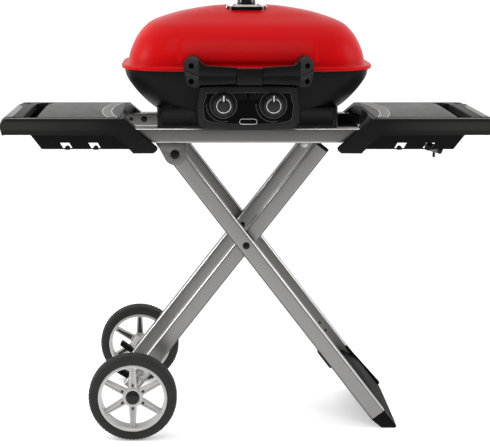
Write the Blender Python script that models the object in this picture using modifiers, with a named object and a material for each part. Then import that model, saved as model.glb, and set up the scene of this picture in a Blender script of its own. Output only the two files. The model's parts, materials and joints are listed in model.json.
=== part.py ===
"""Two-burner gas grill on a folding scissor cart with two wheels.

X runs to the cook's right, Y away from the cook, Z up, in metres. The cart is
drawn about its own middle plane (the one half-way between the wheels), and one
empty shifts it so that the whole object's box is centred over the origin.
The cart folds on two pivots: the outer legs swing on the top frame, and the
inner legs swing on the outer legs.
"""
import math

import bmesh
import bpy
from mathutils import Matrix, Vector

# ---- driving dimensions ----------------------------------------------------
CLEARANCE = 0.0003            # gap between pieces that touch
WHEEL_RADIUS = 0.1016         # 8 inch wheels
WHEEL_WIDTH = 0.042
WHEEL_Y = 0.2145              # middle of each wheel
LEG_ANGLE = math.radians(52.5)
CROSS_HEIGHT = 0.4415         # where the two leg frames cross
PIVOT_REACH = 0.268           # from the crossing to the top pivots
LEG_FACE = 0.038              # leg tube, seen from the front
LEG_DEPTH = 0.028
LEG_WALL = 0.002
LEG_CORNER = 0.006
BOLT_RADIUS = 0.0040
BOLT_HOLE = BOLT_RADIUS + CLEARANCE
AXLE_RADIUS = 0.006
OUTER_LEG_Y = 0.136           # middle of each outer leg tube
INNER_LEG_Y = 0.102
RAIL_Y = 0.1475
RAIL_DEPTH = 0.025
RAIL_BOTTOM = 0.680
RAIL_TOP = 0.715
RAIL_HALF = 0.290
SHELF_FRONT = -0.175
SHELF_REAR = 0.166
SHELF_END = 0.560             # half of the overall width
SKIRT_HALF = 0.2035           # grill base skirt
SKIRT_Y = 0.154
PANEL_FRONT = -0.200
KNOB_X = 0.055
KNOB_Z = 0.7716
KNOB_RADIUS = 0.025
HANDLE_FRONT = -0.257
HANDLE_HALF = 0.142
HINGE_Y = 0.205
HINGE_Z = 0.8455
THERMOMETER_Y = -0.045
BURNER_X = 0.130
BURNER_Z = 0.775

WHEEL_OUTER = WHEEL_Y + WHEEL_WIDTH / 2
BOX_SHIFT = (-HANDLE_FRONT - WHEEL_OUTER) / 2   # puts the box's middle at Y = 0
AXLE_REACH = (CROSS_HEIGHT - WHEEL_RADIUS) / math.sin(LEG_ANGLE)
CROSS = Vector((0, 0, CROSS_HEIGHT))
PIVOT = CROSS + PIVOT_REACH * Vector((-math.cos(LEG_ANGLE), 0, math.sin(LEG_ANGLE)))
AXLE = CROSS - AXLE_REACH * Vector((math.cos(LEG_ANGLE), 0, math.sin(LEG_ANGLE)))

# Half width, half depth and height of the bowl's outside, from the bottom up.
BOWL_RINGS = [
    (0.186, 0.138, 0.7440),
    (0.2045, 0.153, 0.7520),
    (0.249, 0.172, 0.7910),
    (0.2735, 0.182, 0.8265),
    (0.280, 0.186, 0.8425),
]
BOWL_WALL = 0.0025
# The same for the lid, from the rim up.
LID_RINGS = [
    (0.2840, 0.1910, 0.8436),
    (0.2870, 0.1940, 0.8475),
    (0.2865, 0.1935, 0.8525),
    (0.2830, 0.1900, 0.8560),
    (0.2725, 0.1800, 0.8600),
    (0.2630, 0.1715, 0.8900),
    (0.2510, 0.1600, 0.9140),
    (0.2345, 0.1440, 0.9340),
    (0.2180, 0.1290, 0.9460),
    (0.1900, 0.1070, 0.9570),
    (0.1460, 0.0800, 0.9695),
    (0.0850, 0.0460, 0.9800),
    (0.0300, 0.0170, 0.9845),
]
LID_WALL = 0.002
RING_POINTS = 40
RING_POWER = 4.2              # superellipse exponent of the plan outline

X_AXIS = Vector((1, 0, 0))
Y_AXIS = Vector((0, 1, 0))
Z_AXIS = Vector((0, 0, 1))
# Along each leg (down it) and square to it (to its upper side).
OUTER_ALONG = Vector((math.cos(LEG_ANGLE), 0, -math.sin(LEG_ANGLE)))
OUTER_ACROSS = Vector((math.sin(LEG_ANGLE), 0, math.cos(LEG_ANGLE)))
INNER_ALONG = Vector((-math.cos(LEG_ANGLE), 0, -math.sin(LEG_ANGLE)))
INNER_ACROSS = Vector((-math.sin(LEG_ANGLE), 0, math.cos(LEG_ANGLE)))
SIDES = (("front", -1), ("rear", 1))
HANDS = (("left", -1), ("right", 1))


# ---- scene, collections, materials -----------------------------------------
def clear_scene():
    for obj in list(bpy.data.objects):
        bpy.data.objects.remove(obj, do_unlink=True)
    for collection in list(bpy.data.collections):
        bpy.data.collections.remove(collection)


def new_collection(name):
    collection = bpy.data.collections.new(name)
    bpy.context.scene.collection.children.link(collection)
    return collection


def make_material(name, colour, roughness, metallic=0.0):
    material = bpy.data.materials.new(name)
    material.use_nodes = True
    shader = material.node_tree.nodes["Principled BSDF"]
    shader.inputs["Base Color"].default_value = (*colour, 1.0)
    shader.inputs["Roughness"].default_value = roughness
    shader.inputs["Metallic"].default_value = metallic
    material.diffuse_color = (*colour, 1.0)
    return material


def new_empty(name, place, parent=None):
    empty = bpy.data.objects.new(name, None)
    empty.location = place
    empty.parent = parent
    PARTS.objects.link(empty)
    return empty


def adopt(obj, group, material):
    """Link a part and hang it on its body's empty; its mesh stays in cart coordinates."""
    PARTS.objects.link(obj)
    obj.parent = group["empty"]
    obj.matrix_parent_inverse = Matrix.Translation(-group["place"])
    obj.data.materials.clear()
    obj.data.materials.append(material)
    return obj


def new_cutter(name, mesh):
    obj = bpy.data.objects.new(name, mesh)
    obj.hide_render = True
    obj.display_type = "WIRE"
    CUTTERS.objects.link(obj)
    obj.parent = ROOT["empty"]
    return obj


# ---- shapes ------------------------------------------------------------------
def axes_matrix(place, x_axis, y_axis):
    """Local X and Y lie along the two given directions, local Z along their cross product."""
    z_axis = x_axis.cross(y_axis)
    matrix = Matrix((x_axis, y_axis, z_axis)).transposed().to_4x4()
    matrix.translation = place
    return matrix


FRONT_VIEW = axes_matrix(Vector(), X_AXIS, Z_AXIS)      # outline in X and Z, depth along -Y
PLAN_VIEW = Matrix.Identity(4)                          # outline in X and Y, depth along Z
SIDE_VIEW = axes_matrix(Vector(), Y_AXIS, Z_AXIS)       # outline in Y and Z, depth along X
OUTER_LEG_VIEW = axes_matrix(CROSS, OUTER_ALONG, OUTER_ACROSS)   # depth along -Y
INNER_LEG_VIEW = axes_matrix(CROSS, INNER_ALONG, INNER_ACROSS)   # depth along +Y


def box_mesh(low, high):
    low, high = Vector(low), Vector(high)
    mesh = bpy.data.meshes.new("box")
    bm = bmesh.new()
    size = Matrix.Diagonal((*(high - low), 1.0))
    bmesh.ops.create_cube(bm, size=1.0, matrix=Matrix.Translation((low + high) / 2) @ size)
    bm.to_mesh(mesh)
    bm.free()
    return mesh


def cylinder_mesh(start, end, radius, points=24):
    start, end = Vector(start), Vector(end)
    turn = Z_AXIS.rotation_difference(end - start).to_matrix().to_4x4()
    matrix = Matrix.Translation((start + end) / 2) @ turn
    mesh = bpy.data.meshes.new("cylinder")
    bm = bmesh.new()
    bmesh.ops.create_cone(bm, cap_ends=True, segments=points, radius1=radius, radius2=radius,
                          depth=(end - start).length, matrix=matrix)
    bm.to_mesh(mesh)
    bm.free()
    return mesh


def arc(centre, radius, start_deg, end_deg, steps):
    """Points of an arc, both ends included."""
    angles = [math.radians(start_deg + (end_deg - start_deg) * i / steps) for i in range(steps + 1)]
    return [(centre[0] + radius * math.cos(a), centre[1] + radius * math.sin(a)) for a in angles]


def rounded_rectangle(width, height, radius, steps=3, centre=(0, 0)):
    points = []
    for corner, start in (((1, 1), 0), ((-1, 1), 90), ((-1, -1), 180), ((1, -1), 270)):
        middle = (centre[0] + corner[0] * (width / 2 - radius),
                  centre[1] + corner[1] * (height / 2 - radius))
        points += arc(middle, radius, start, start + 90, steps)
    return points


def mirrored(points):
    """A closed outline from its right half, listed from the middle line round to it again."""
    return points + [(-x, y) for x, y in reversed(points) if x > 1e-6]


def mesh_from_curve(curve, matrix):
    """Turn a curve into a welded mesh in cart coordinates."""
    holder = bpy.data.objects.new("outline", curve)
    bpy.context.scene.collection.objects.link(holder)
    graph = bpy.context.evaluated_depsgraph_get()
    mesh = bpy.data.meshes.new_from_object(holder.evaluated_get(graph))
    bpy.data.objects.remove(holder)
    bm = bmesh.new()
    bm.from_mesh(mesh)
    bmesh.ops.remove_doubles(bm, verts=bm.verts, dist=1e-6)
    bmesh.ops.dissolve_limit(bm, angle_limit=math.radians(0.5), verts=bm.verts, edges=bm.edges)
    bmesh.ops.transform(bm, matrix=matrix, verts=bm.verts)
    bmesh.ops.recalc_face_normals(bm, faces=bm.faces)
    bm.to_mesh(mesh)
    bm.free()
    return mesh


def outline_mesh(loops, view, low, high):
    """A flat outline with holes, extruded from low to high along the view's local Z."""
    curve = bpy.data.curves.new("outline", "CURVE")
    curve.dimensions = "2D"
    curve.fill_mode = "BOTH"
    curve.extrude = (high - low) / 2
    for loop in loops:
        spline = curve.splines.new("POLY")
        spline.points.add(len(loop) - 1)
        for point, (x, y) in zip(spline.points, loop):
            point.co = (x, y, 0, 1)
        spline.use_cyclic_u = True
    return mesh_from_curve(curve, view @ Matrix.Translation((0, 0, (low + high) / 2)))


def tube_mesh(points, radius, resolution=2):
    """A round bar or pipe through the given points."""
    curve = bpy.data.curves.new("tube", "CURVE")
    curve.dimensions = "3D"
    curve.bevel_depth = radius
    curve.bevel_resolution = resolution
    curve.use_fill_caps = True
    spline = curve.splines.new("POLY")
    spline.points.add(len(points) - 1)
    for point, place in zip(spline.points, points):
        point.co = (*place, 1)
    return mesh_from_curve(curve, Matrix.Identity(4))


def smooth_route(points, steps):
    """Points of a smooth curve through the given ones (Catmull-Rom)."""
    knots = [Vector(p) for p in points]
    knots = [2 * knots[0] - knots[1]] + knots + [2 * knots[-1] - knots[-2]]
    route = []
    for i in range(1, len(knots) - 2):
        a, b, c, d = knots[i - 1:i + 3]
        for j in range(steps):
            t = j / steps
            route.append(0.5 * (2 * b + (c - a) * t + (2 * a - 5 * b + 4 * c - d) * t ** 2
                                + (3 * b - a - 3 * c + d) * t ** 3))
    return route + [knots[-2]]


def ring(half_x, half_y, height, grow=0.0):
    """One superellipse level of the bowl or the lid."""
    points = []
    for i in range(RING_POINTS):
        angle = math.tau * i / RING_POINTS
        cos, sin = math.cos(angle), math.sin(angle)
        x = math.copysign(abs(cos) ** (2 / RING_POWER), cos) * (half_x + grow)
        y = math.copysign(abs(sin) ** (2 / RING_POWER), sin) * (half_y + grow)
        points.append(Vector((x, y, height)))
    return points


def loft_mesh(levels, close_low, close_high):
    """Skin over a stack of equal-length point rings."""
    bm = bmesh.new()
    rows = [[bm.verts.new(p) for p in level] for level in levels]
    count = len(rows[0])
    for low, high in zip(rows, rows[1:]):
        for i in range(count):
            j = (i + 1) % count
            bm.faces.new((low[i], low[j], high[j], high[i]))
    if close_low:
        bm.faces.new(list(reversed(rows[0])))
    if close_high:
        bm.faces.new(rows[-1])
    mesh = bpy.data.meshes.new("loft")
    bm.to_mesh(mesh)
    bm.free()
    return mesh


# ---- modifiers ---------------------------------------------------------------
def use_cutter(obj, cutter, operation="DIFFERENCE"):
    modifier = obj.modifiers.new(operation.title(), "BOOLEAN")
    modifier.operation = operation
    modifier.solver = "EXACT"
    modifier.object = cutter


def combine(obj, operation, mesh):
    use_cutter(obj, new_cutter(obj.name + "_" + operation.lower(), mesh), operation)


def cut(obj, mesh):
    combine(obj, "DIFFERENCE", mesh)


def join(obj, mesh):
    combine(obj, "UNION", mesh)


def solidify(obj, thickness):
    modifier = obj.modifiers.new("Wall", "SOLIDIFY")
    modifier.thickness = thickness
    modifier.offset = -1
    modifier.use_even_offset = True


def bevel(obj, width, segments=1):
    modifier = obj.modifiers.new("Edges", "BEVEL")
    modifier.width = width
    modifier.segments = segments
    modifier.limit_method = "ANGLE"
    modifier.angle_limit = math.radians(40)


def part(name, mesh, group, material):
    """A new part; its mesh is already in cart coordinates."""
    obj = bpy.data.objects.new(name, mesh)
    mesh.name = name
    return adopt(obj, group, MATERIALS[material])


def turned(name, profile, place, axis, group, material, steps=24):
    """A turned piece: profile points are (radius, distance along the axis)."""
    mesh = bpy.data.meshes.new(name)
    closed = profile[0][0] > 1e-9
    count = len(profile)
    edges = [(i, (i + 1) % count) for i in range(count if closed else count - 1)]
    mesh.from_pydata([(r, 0, h) for r, h in profile], edges, [])
    obj = bpy.data.objects.new(name, mesh)
    turn = Z_AXIS.rotation_difference(axis).to_matrix().to_4x4()
    obj.matrix_basis = Matrix.Translation(place) @ turn
    modifier = obj.modifiers.new("Turn", "SCREW")
    modifier.axis = "Z"
    modifier.steps = steps
    modifier.render_steps = steps
    modifier.use_merge_vertices = True
    modifier.merge_threshold = 0.00001
    modifier.use_smooth_shade = True
    return adopt(obj, group, MATERIALS[material])


def at_y(point, y):
    return Vector((point.x, y, point.z))


# ---- top frame -----------------------------------------------------------------
def build_rails():
    wall = 0.002
    outer = rounded_rectangle(RAIL_DEPTH, RAIL_TOP - RAIL_BOTTOM, 0.006)
    inner = rounded_rectangle(RAIL_DEPTH - 2 * wall, RAIL_TOP - RAIL_BOTTOM - 2 * wall, 0.004, 2)
    for side, sign in SIDES:
        place = Vector((0, sign * RAIL_Y, (RAIL_TOP + RAIL_BOTTOM) / 2))
        view = axes_matrix(place, Y_AXIS, Z_AXIS)
        mesh = outline_mesh([outer, inner], view, -RAIL_HALF, RAIL_HALF)
        part(side + "_rail", mesh, ROOT, "rail")


def build_cross_bars():
    reach = RAIL_Y - RAIL_DEPTH / 2 - CLEARANCE
    outer = rounded_rectangle(0.022, 0.020, 0.004, 2)
    inner = rounded_rectangle(0.019, 0.017, 0.0025, 1)
    for hand, sign in HANDS:
        view = axes_matrix(Vector((sign * 0.150, 0, 0.6995)), Z_AXIS, X_AXIS)
        part("cross_bar_" + hand, outline_mesh([outer, inner], view, -reach, reach), ROOT, "rail")


def build_slide_tracks():
    """Angle strips that the inner legs' top ends slide under as the cart folds."""
    inner = RAIL_Y - RAIL_DEPTH / 2 - CLEARANCE
    edge = INNER_LEG_Y - LEG_DEPTH / 2 - 0.0005
    low = RAIL_BOTTOM + 0.0015
    outline = [(inner, low), (edge, low), (edge, low + 0.002), (inner - 0.002, low + 0.002),
               (inner - 0.002, low + 0.0058), (inner, low + 0.0058)]
    for side, sign in SIDES:
        loop = [(sign * y, z) for y, z in outline]
        part("slide_track_" + side, outline_mesh([loop], SIDE_VIEW, 0.110, 0.285), ROOT, "rail")


def build_pivot_brackets():
    """Plates under the rails that hold the outer legs' top pivots."""
    face = OUTER_LEG_Y + LEG_DEPTH / 2 + 0.0005
    centre = (PIVOT.x, PIVOT.z)
    top = RAIL_BOTTOM - CLEARANCE
    outline = [(-0.207, top), (-0.199, 0.668)] + arc(centre, 0.025, 205, 360, 8) + [(-0.1382, top)]
    for side, sign in SIDES:
        y_low, y_high = sorted((sign * face, sign * (face + 0.003)))
        plate = part("pivot_bracket_" + side, outline_mesh([outline], FRONT_VIEW, -y_high, -y_low),
                     ROOT, "bracket")
        cut(plate, cylinder_mesh(at_y(PIVOT, y_low - 0.01), at_y(PIVOT, y_high + 0.01),
                                 BOLT_HOLE, 16))
        profile = [(0, 0.0232), (0.0060, 0.0232), (0.0096, 0.0212), (0.0096, 0.0178),
                   (BOLT_RADIUS, 0.0178), (BOLT_RADIUS, -0.0143), (0.0070, -0.0143),
                   (0.0070, -0.0180), (0, -0.0180)]
        turned("pivot_bolt_" + side, profile, at_y(PIVOT, sign * OUTER_LEG_Y), Vector((0, sign, 0)),
               ROOT, "bolt", 12)


# ---- legs ------------------------------------------------------------------------
def leg_view(along, y):
    """Looking along a leg from the crossing: outline across the tube, depth down the leg."""
    across = Y_AXIS.cross(along)
    return axes_matrix(at_y(CROSS, y), across, along.cross(across))


def leg_tube(name, along, y, start, end, group):
    outer = rounded_rectangle(LEG_FACE, LEG_DEPTH, LEG_CORNER)
    inner = rounded_rectangle(LEG_FACE - 2 * LEG_WALL, LEG_DEPTH - 2 * LEG_WALL,
                              LEG_CORNER - LEG_WALL, 2)
    return part(name, outline_mesh([outer, inner], leg_view(along, y), start, end), group, "leg")


def leg_plug(name, along, y, start, end, group):
    """Solid moulded end of a leg, with the tube's own outline."""
    outline = rounded_rectangle(LEG_FACE, LEG_DEPTH, LEG_CORNER)
    return part(name, outline_mesh([outline], leg_view(along, y), start, end), group, "foot")


def leg_hole(obj, place, y, radius):
    reach = LEG_DEPTH * Y_AXIS
    centre = at_y(place, y)
    cut(obj, cylinder_mesh(centre - reach, centre + reach, radius, 16))


def build_outer_legs():
    top = -PIVOT_REACH - 0.016
    foot_start = 0.5165
    for side, sign in SIDES:
        y = sign * OUTER_LEG_Y
        leg = leg_tube("outer_leg_" + side, OUTER_ALONG, y, top, foot_start, OUTER)
        leg_hole(leg, PIVOT, y, BOLT_HOLE)
        leg_hole(leg, CROSS, y, BOLT_HOLE)
        foot = leg_plug("outer_foot_" + side, OUTER_ALONG, y, foot_start + CLEARANCE, 0.62, OUTER)
        cut(foot, box_mesh((0.2, y - 0.05, -0.2), (0.5, y + 0.05, 0)))


def build_foot_plate():
    """Moulded step between the outer legs: stand on it to fold the cart."""
    half = OUTER_LEG_Y - LEG_DEPTH / 2 - 0.0008
    top = LEG_FACE / 2 + 0.0005
    outline = [(0.421, -0.015), (0.421, 0.003), (0.436, 0.010), (0.462, 0.0185), (0.480, top),
               (0.5675, top), (0.5445, -0.015)]
    pocket = [(0.4255, -0.030), (0.4255, 0.000), (0.4375, 0.0055), (0.4625, 0.0140),
              (0.480, top - 0.004), (0.5610, top - 0.004), (0.5300, -0.030)]
    plate = part("foot_plate", outline_mesh([outline], OUTER_LEG_VIEW, -half, half), OUTER, "step")
    cut(plate, outline_mesh([pocket], OUTER_LEG_VIEW, -half + 0.004, half - 0.004))


def build_cross_bolts():
    """Bolt, spacer collar and nut in one turned piece, through both tubes."""
    profile = [(0, 0.0195), (0.0055, 0.0195), (0.0080, 0.0175), (0.0080, 0.0143),
               (BOLT_RADIUS, 0.0143), (BOLT_RADIUS, -0.0143), (0.0090, -0.0143),
               (0.0090, -0.0197), (BOLT_RADIUS, -0.0197), (BOLT_RADIUS, -0.0483),
               (0.0070, -0.0483), (0.0070, -0.0530), (0, -0.0530)]
    for side, sign in SIDES:
        turned("cross_bolt_" + side, profile, at_y(CROSS, sign * OUTER_LEG_Y),
               Vector((0, sign, 0)), OUTER, "bolt", 12)


def build_inner_legs():
    top = -0.280
    for side, sign in SIDES:
        y = sign * INNER_LEG_Y
        leg = leg_tube("inner_leg_" + side, INNER_ALONG, y, top, AXLE_REACH + 0.019, INNER)
        leg_hole(leg, CROSS, y, BOLT_HOLE)
        leg_hole(leg, AXLE, y, AXLE_RADIUS + CLEARANCE)
        cap = leg_plug("slide_cap_" + side, INNER_ALONG, y, top - 0.007, top - CLEARANCE, INNER)
        bevel(cap, 0.0025)
        near = LEG_FACE / 2 + CLEARANCE
        post = [(AXLE_REACH - 0.006, near), (AXLE_REACH + 0.006, near),
                (AXLE_REACH + 0.006, near + 0.033), (AXLE_REACH + 0.004, near + 0.035),
                (AXLE_REACH - 0.004, near + 0.035), (AXLE_REACH - 0.006, near + 0.033)]
        part("standing_foot_" + side, outline_mesh([post], INNER_LEG_VIEW, y - 0.010, y + 0.010),
             INNER, "foot")


# ---- wheels ------------------------------------------------------------------------
def build_axle():
    half = WHEEL_Y + 0.0035
    mesh = cylinder_mesh(at_y(AXLE, -half), at_y(AXLE, half), AXLE_RADIUS, 20)
    part("axle", mesh, INNER, "steel")


def build_wheel(side, sign, group):
    centre = at_y(AXLE, sign * WHEEL_Y)
    outwards = Vector((0, sign, 0))
    seat = 0.0798
    shoulder = [(seat, 0.019), (0.0925, 0.021), (0.0992, 0.0175), (WHEEL_RADIUS, 0.0110)]
    tyre = shoulder + [(r, -h) for r, h in reversed(shoulder)]
    turned(side + "_tyre", tyre, centre, outwards, group, "tyre", 36)

    barrel = [(0.0730, 0.0185), (0.0760, 0.0200), (seat - CLEARANCE, 0.0190),
              (seat - CLEARANCE, -0.0190), (0.0760, -0.0200), (0.0730, -0.0185)]
    rim = turned(side + "_rim", barrel, centre, outwards, group, "rim", 36)
    hub = cylinder_mesh(centre + 0.0055 * outwards, centre - 0.019 * outwards, 0.0196)
    for i in range(3):
        bar = box_mesh((-0.006, -0.006, -0.0745), (0.006, 0.006, 0.0745))
        turn = Matrix.Rotation(math.radians(60 * i), 4, "Y")
        bar.transform(Matrix.Translation(centre + 0.0065 * outwards) @ turn)
        join(rim, bar)
    join(rim, hub)
    cut(rim, cylinder_mesh(centre - 0.04 * outwards, centre + 0.04 * outwards,
                           AXLE_RADIUS + 0.0004, 20))
    cap = [(0, 0.0170), (0.0100, 0.0165), (0.0140, 0.0150), (0.0150, 0.0129), (0, 0.0129)]
    turned(side + "_hub_cap", cap, centre, outwards, group, "cap", 24)


# ---- side shelves ------------------------------------------------------------------
def shelf_outline(sign):
    end = SHELF_END
    points = [(0.201, 0.672), (0.205, 0.6625), (0.212, 0.6586), (0.258, 0.6586), (0.266, 0.669),
              (0.462, 0.669), (0.486, 0.7005), (0.548, 0.7005), (end - 0.004, 0.712)]
    points += arc((end - 0.018, 0.7230), 0.018, -10, 90, 5)
    points += [(0.278, 0.7375)]
    return [(sign * x, z) for x, z in points]


def hook_window(x_low, x_high, sign):
    """Slanted cut-out in the skirt, for hanging tools."""
    loop = [(x_low, 0.6715), (x_high, 0.6715), (x_high + 0.0068, 0.6835), (x_low + 0.0068, 0.6835)]
    return [(sign * x, z) for x, z in loop]


def build_shelf(hand, sign):
    def span(x_low, x_high):
        return sorted((sign * x_low, sign * x_high))

    def cut_box(obj, x_low, x_high, y_low, y_high, z_low, z_high):
        low, high = span(x_low, x_high)
        cut(obj, box_mesh((low, y_low, z_low), (high, y_high, z_high)))

    wall = 0.004
    body = part("shelf_" + hand, outline_mesh([shelf_outline(sign)], FRONT_VIEW,
                                              -SHELF_REAR, -SHELF_FRONT), ROOT, "shelf")
    y_low, y_high = SHELF_FRONT + wall, SHELF_REAR - wall
    cut_box(body, 0.19, SHELF_END - 0.006, y_low, y_high, 0.60, 0.7165)
    cut_box(body, 0.284, 0.466, y_low, y_high, 0.71, 0.7315)
    cut_box(body, 0.466, SHELF_END - 0.006, y_low, y_high, 0.71, 0.7230)
    cut_box(body, 0.474, 0.506, -0.125, 0.110, 0.70, 0.78)
    cut_box(body, 0.286, 0.4685, SHELF_FRONT + 0.014, SHELF_REAR - 0.014, 0.7345, 0.78)
    cut_box(body, 0.522, 0.60, -0.150, 0.135, 0.7270, 0.78)
    for x_low, x_high in ((0.3296, 0.3508), (0.3930, 0.4142)):
        loop = hook_window(x_low, x_high, sign)
        cut(body, outline_mesh([loop], FRONT_VIEW, -SHELF_FRONT - 0.008, -SHELF_FRONT + 0.004))

    x_low, x_high = span(0.2863, 0.4682)
    panel = [(x_low, SHELF_FRONT + 0.0143), (x_high, SHELF_FRONT + 0.0143),
             (x_high, SHELF_REAR - 0.0143), (x_low, SHELF_REAR - 0.0143)]
    part("shelf_top_" + hand, outline_mesh([panel], PLAN_VIEW, 0.7348, 0.7388), ROOT, "shelf_top")

    grip = [(0.5223, 0.7273), (0.5223, 0.7385)] + arc((0.5265, 0.7370), 0.0045, 160, 90, 3)
    grip += arc((SHELF_END - 0.0165, 0.7255), 0.0160, 90, 8, 5) + [(SHELF_END - 0.0005, 0.7273)]
    loop = [(sign * x, z) for x, z in grip]
    part("shelf_grip_" + hand, outline_mesh([loop], FRONT_VIEW, -0.1347, 0.1497), ROOT, "grip")


# ---- grill base --------------------------------------------------------------------
def bowl_envelope():
    """Closed solid of the bowl's outside, grown by the clearance; other pieces are cut to it."""
    levels = [ring(x, y, z, CLEARANCE) for x, y, z in BOWL_RINGS]
    levels[0] = ring(*BOWL_RINGS[0][:2], BOWL_RINGS[0][2] - CLEARANCE, CLEARANCE)
    levels.append(ring(*BOWL_RINGS[-1][:2], BOWL_RINGS[-1][2] + 0.001, CLEARANCE))
    return new_cutter("bowl_envelope", loft_mesh(levels, True, True))


def lid_envelope():
    levels = [ring(x, y, z, CLEARANCE) for x, y, z in LID_RINGS]
    levels[0] = ring(*LID_RINGS[0][:2], LID_RINGS[0][2] - CLEARANCE, CLEARANCE)
    levels[-1] = ring(*LID_RINGS[-1][:2], LID_RINGS[-1][2] + CLEARANCE, CLEARANCE)
    return new_cutter("lid_envelope", loft_mesh(levels, True, True))


def build_bowl():
    levels = [ring(x, y, z) for x, y, z in BOWL_RINGS]
    bowl = part("base_bowl", loft_mesh(levels, True, False), ROOT, "bowl")
    solidify(bowl, BOWL_WALL)
    cut(bowl, cylinder_mesh((0, 0, 0.70), (0, 0, 0.78), 0.022, 20))
    for hand, sign in HANDS:
        x = sign * KNOB_X
        cut(bowl, cylinder_mesh((x, -0.22, KNOB_Z), (x, -0.12, KNOB_Z), 0.0083, 16))
        for y in (-0.08, 0.08):
            low, high = sorted((sign * 0.256, sign * 0.2708))
            join(bowl, box_mesh((low, y - 0.010, 0.8235), (high, y + 0.010, 0.8315)))
        middle = sorted((sign * 0.164, sign * 0.1808))
        join(bowl, box_mesh((-0.012, middle[0], 0.8235), (0.012, middle[1], 0.8315)))
        runner = [(0.1400, 0.7455), (0.1400, 0.7335), (0.1305, 0.7335), (0.1305, 0.7350),
                  (0.1385, 0.7350), (0.1385, 0.7455)]
        loop = [(sign * px, pz) for px, pz in runner]
        join(bowl, outline_mesh([loop], FRONT_VIEW, -0.1290, 0.1190))
        lug = [(0.1796, 0.826), (0.198, 0.8375)] + arc((HINGE_Y, HINGE_Z), 0.0065, -60, 180, 8)
        lug += [(0.1965, 0.8418), (0.1796, 0.8418)]
        low, high = sorted((sign * 0.105, sign * 0.113))
        join(bowl, outline_mesh([lug], SIDE_VIEW, low, high))
        cut(bowl, cylinder_mesh((low - 0.01, HINGE_Y, HINGE_Z), (high + 0.01, HINGE_Y, HINGE_Z),
                                0.0033, 16))


def build_skirt(envelope):
    """Stand that carries the bowl on the rails; its back is open for the grease tray."""
    wall = 0.003
    outer = rounded_rectangle(2 * SKIRT_HALF, 2 * SKIRT_Y, 0.008, 2)
    inner = rounded_rectangle(2 * (SKIRT_HALF - wall), 2 * (SKIRT_Y - wall), 0.005, 2)
    skirt = part("base_skirt", outline_mesh([outer, inner], PLAN_VIEW, 0.7158, 0.7600), ROOT,
                 "skirt")
    use_cutter(skirt, envelope)
    cut(skirt, box_mesh((-0.1450, 0.10, 0.70), (0.1450, 0.20, 0.7450)))
    cut(skirt, cylinder_mesh((0.0985, -0.17, 0.7300), (0.0985, -0.14, 0.7300), 0.0060, 12))


def build_control_panel(envelope):
    half = 0.112
    wall = 0.003
    top, low, corner = 0.8108, 0.7158, 0.7215
    outer = mirrored([(0, low), (0.060, low + 0.0012), (half - 0.010, corner), (half, 0.7290),
                      (half, top - 0.006), (half - 0.006, top), (0, top)])
    inner = mirrored([(0, low + wall), (0.060, low + wall + 0.0012),
                      (half - 0.011, corner + wall), (half - wall, 0.7300),
                      (half - wall, top - 0.007), (half - 0.007, top - wall), (0, top - wall)])
    panel = part("control_panel", outline_mesh([outer], FRONT_VIEW, SKIRT_Y + 0.0005, -PANEL_FRONT),
                 ROOT, "panel")
    cut(panel, outline_mesh([inner], FRONT_VIEW, SKIRT_Y - 0.02, -PANEL_FRONT - wall))
    use_cutter(panel, envelope)
    for _, sign in HANDS:
        x = sign * KNOB_X
        cut(panel, cylinder_mesh((x, -0.22, KNOB_Z), (x, -0.18, KNOB_Z), 0.0053, 16))


def build_gas_parts():
    """Two valves on one manifold, their stems and knobs, and the pipe to the inlet fitting."""
    manifold_z = 0.7600
    valves = part("valve_manifold", cylinder_mesh((-0.066, -0.1770, manifold_z),
                                                  (0.085, -0.1770, manifold_z), 0.005, 12),
                  ROOT, "valve")
    for hand, sign in HANDS:
        x = sign * KNOB_X
        join(valves, cylinder_mesh((x, -0.1855, KNOB_Z), (x, -0.1690, KNOB_Z), 0.0100, 16))
        stem = cylinder_mesh((x, -0.2042, KNOB_Z), (x, -0.1890, KNOB_Z), 0.0050, 16)
        part("stem_" + hand, stem, STEMS[hand], "steel")
        profile = [(0, 0.0150), (0.0140, 0.0150), (0.0165, 0.0160), (0.0205, 0.0155),
                   (0.0225, 0.0120), (KNOB_RADIUS, 0.0040), (KNOB_RADIUS, 0), (0, 0)]
        turned("knob_" + hand, profile, Vector((x, -0.2045, KNOB_Z)), Vector((0, -1, 0)),
               KNOBS[hand], "knob", 24)
    route = [(0.0858, -0.1770, manifold_z), (0.0900, -0.1770, manifold_z),
             (0.0955, -0.1755, 0.7545), (0.0980, -0.1695, 0.7400),
             (0.0985, -0.1600, 0.7310), (0.0985, -0.1500, 0.7295), (0.1030, -0.1440, 0.7285),
             (0.1250, -0.1420, 0.7280), (0.1480, -0.1370, 0.7280), (0.1600, -0.1150, 0.7270),
             (0.1700, -0.0800, 0.7200), (0.1850, -0.0620, 0.6950), (0.2080, -0.0550, 0.6790),
             (0.2500, -0.0520, 0.6755), (0.3200, -0.0480, 0.6740), (0.3850, -0.0380, 0.6710),
             (0.4100, -0.0320, 0.6640), (0.4255, -0.0300, 0.6575)]
    part("gas_pipe", tube_mesh(smooth_route(route, 2), 0.004, 1), ROOT, "pipe")


def build_inlet():
    """Screw-in inlet for the gas regulator, under the right shelf."""
    along = Vector((0.94, 0, -0.34)).normalized()
    start = Vector((0.4266, -0.030, 0.6571))
    profile = [(0, 0.040), (0.0075, 0.040), (0.0085, 0.038), (0.0085, 0.029), (0.0075, 0.028),
               (0.0095, 0.027), (0.0095, 0.014), (0.0075, 0.013), (0.0105, 0.011),
               (0.0105, 0.002), (0.0085, 0), (0, 0)]
    fitting = turned("gas_inlet", profile, start, along, ROOT, "valve", 16)
    stem = start + 0.020 * along
    join(fitting, cylinder_mesh(stem, stem - 0.021 * Z_AXIS, 0.0032, 12))


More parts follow.
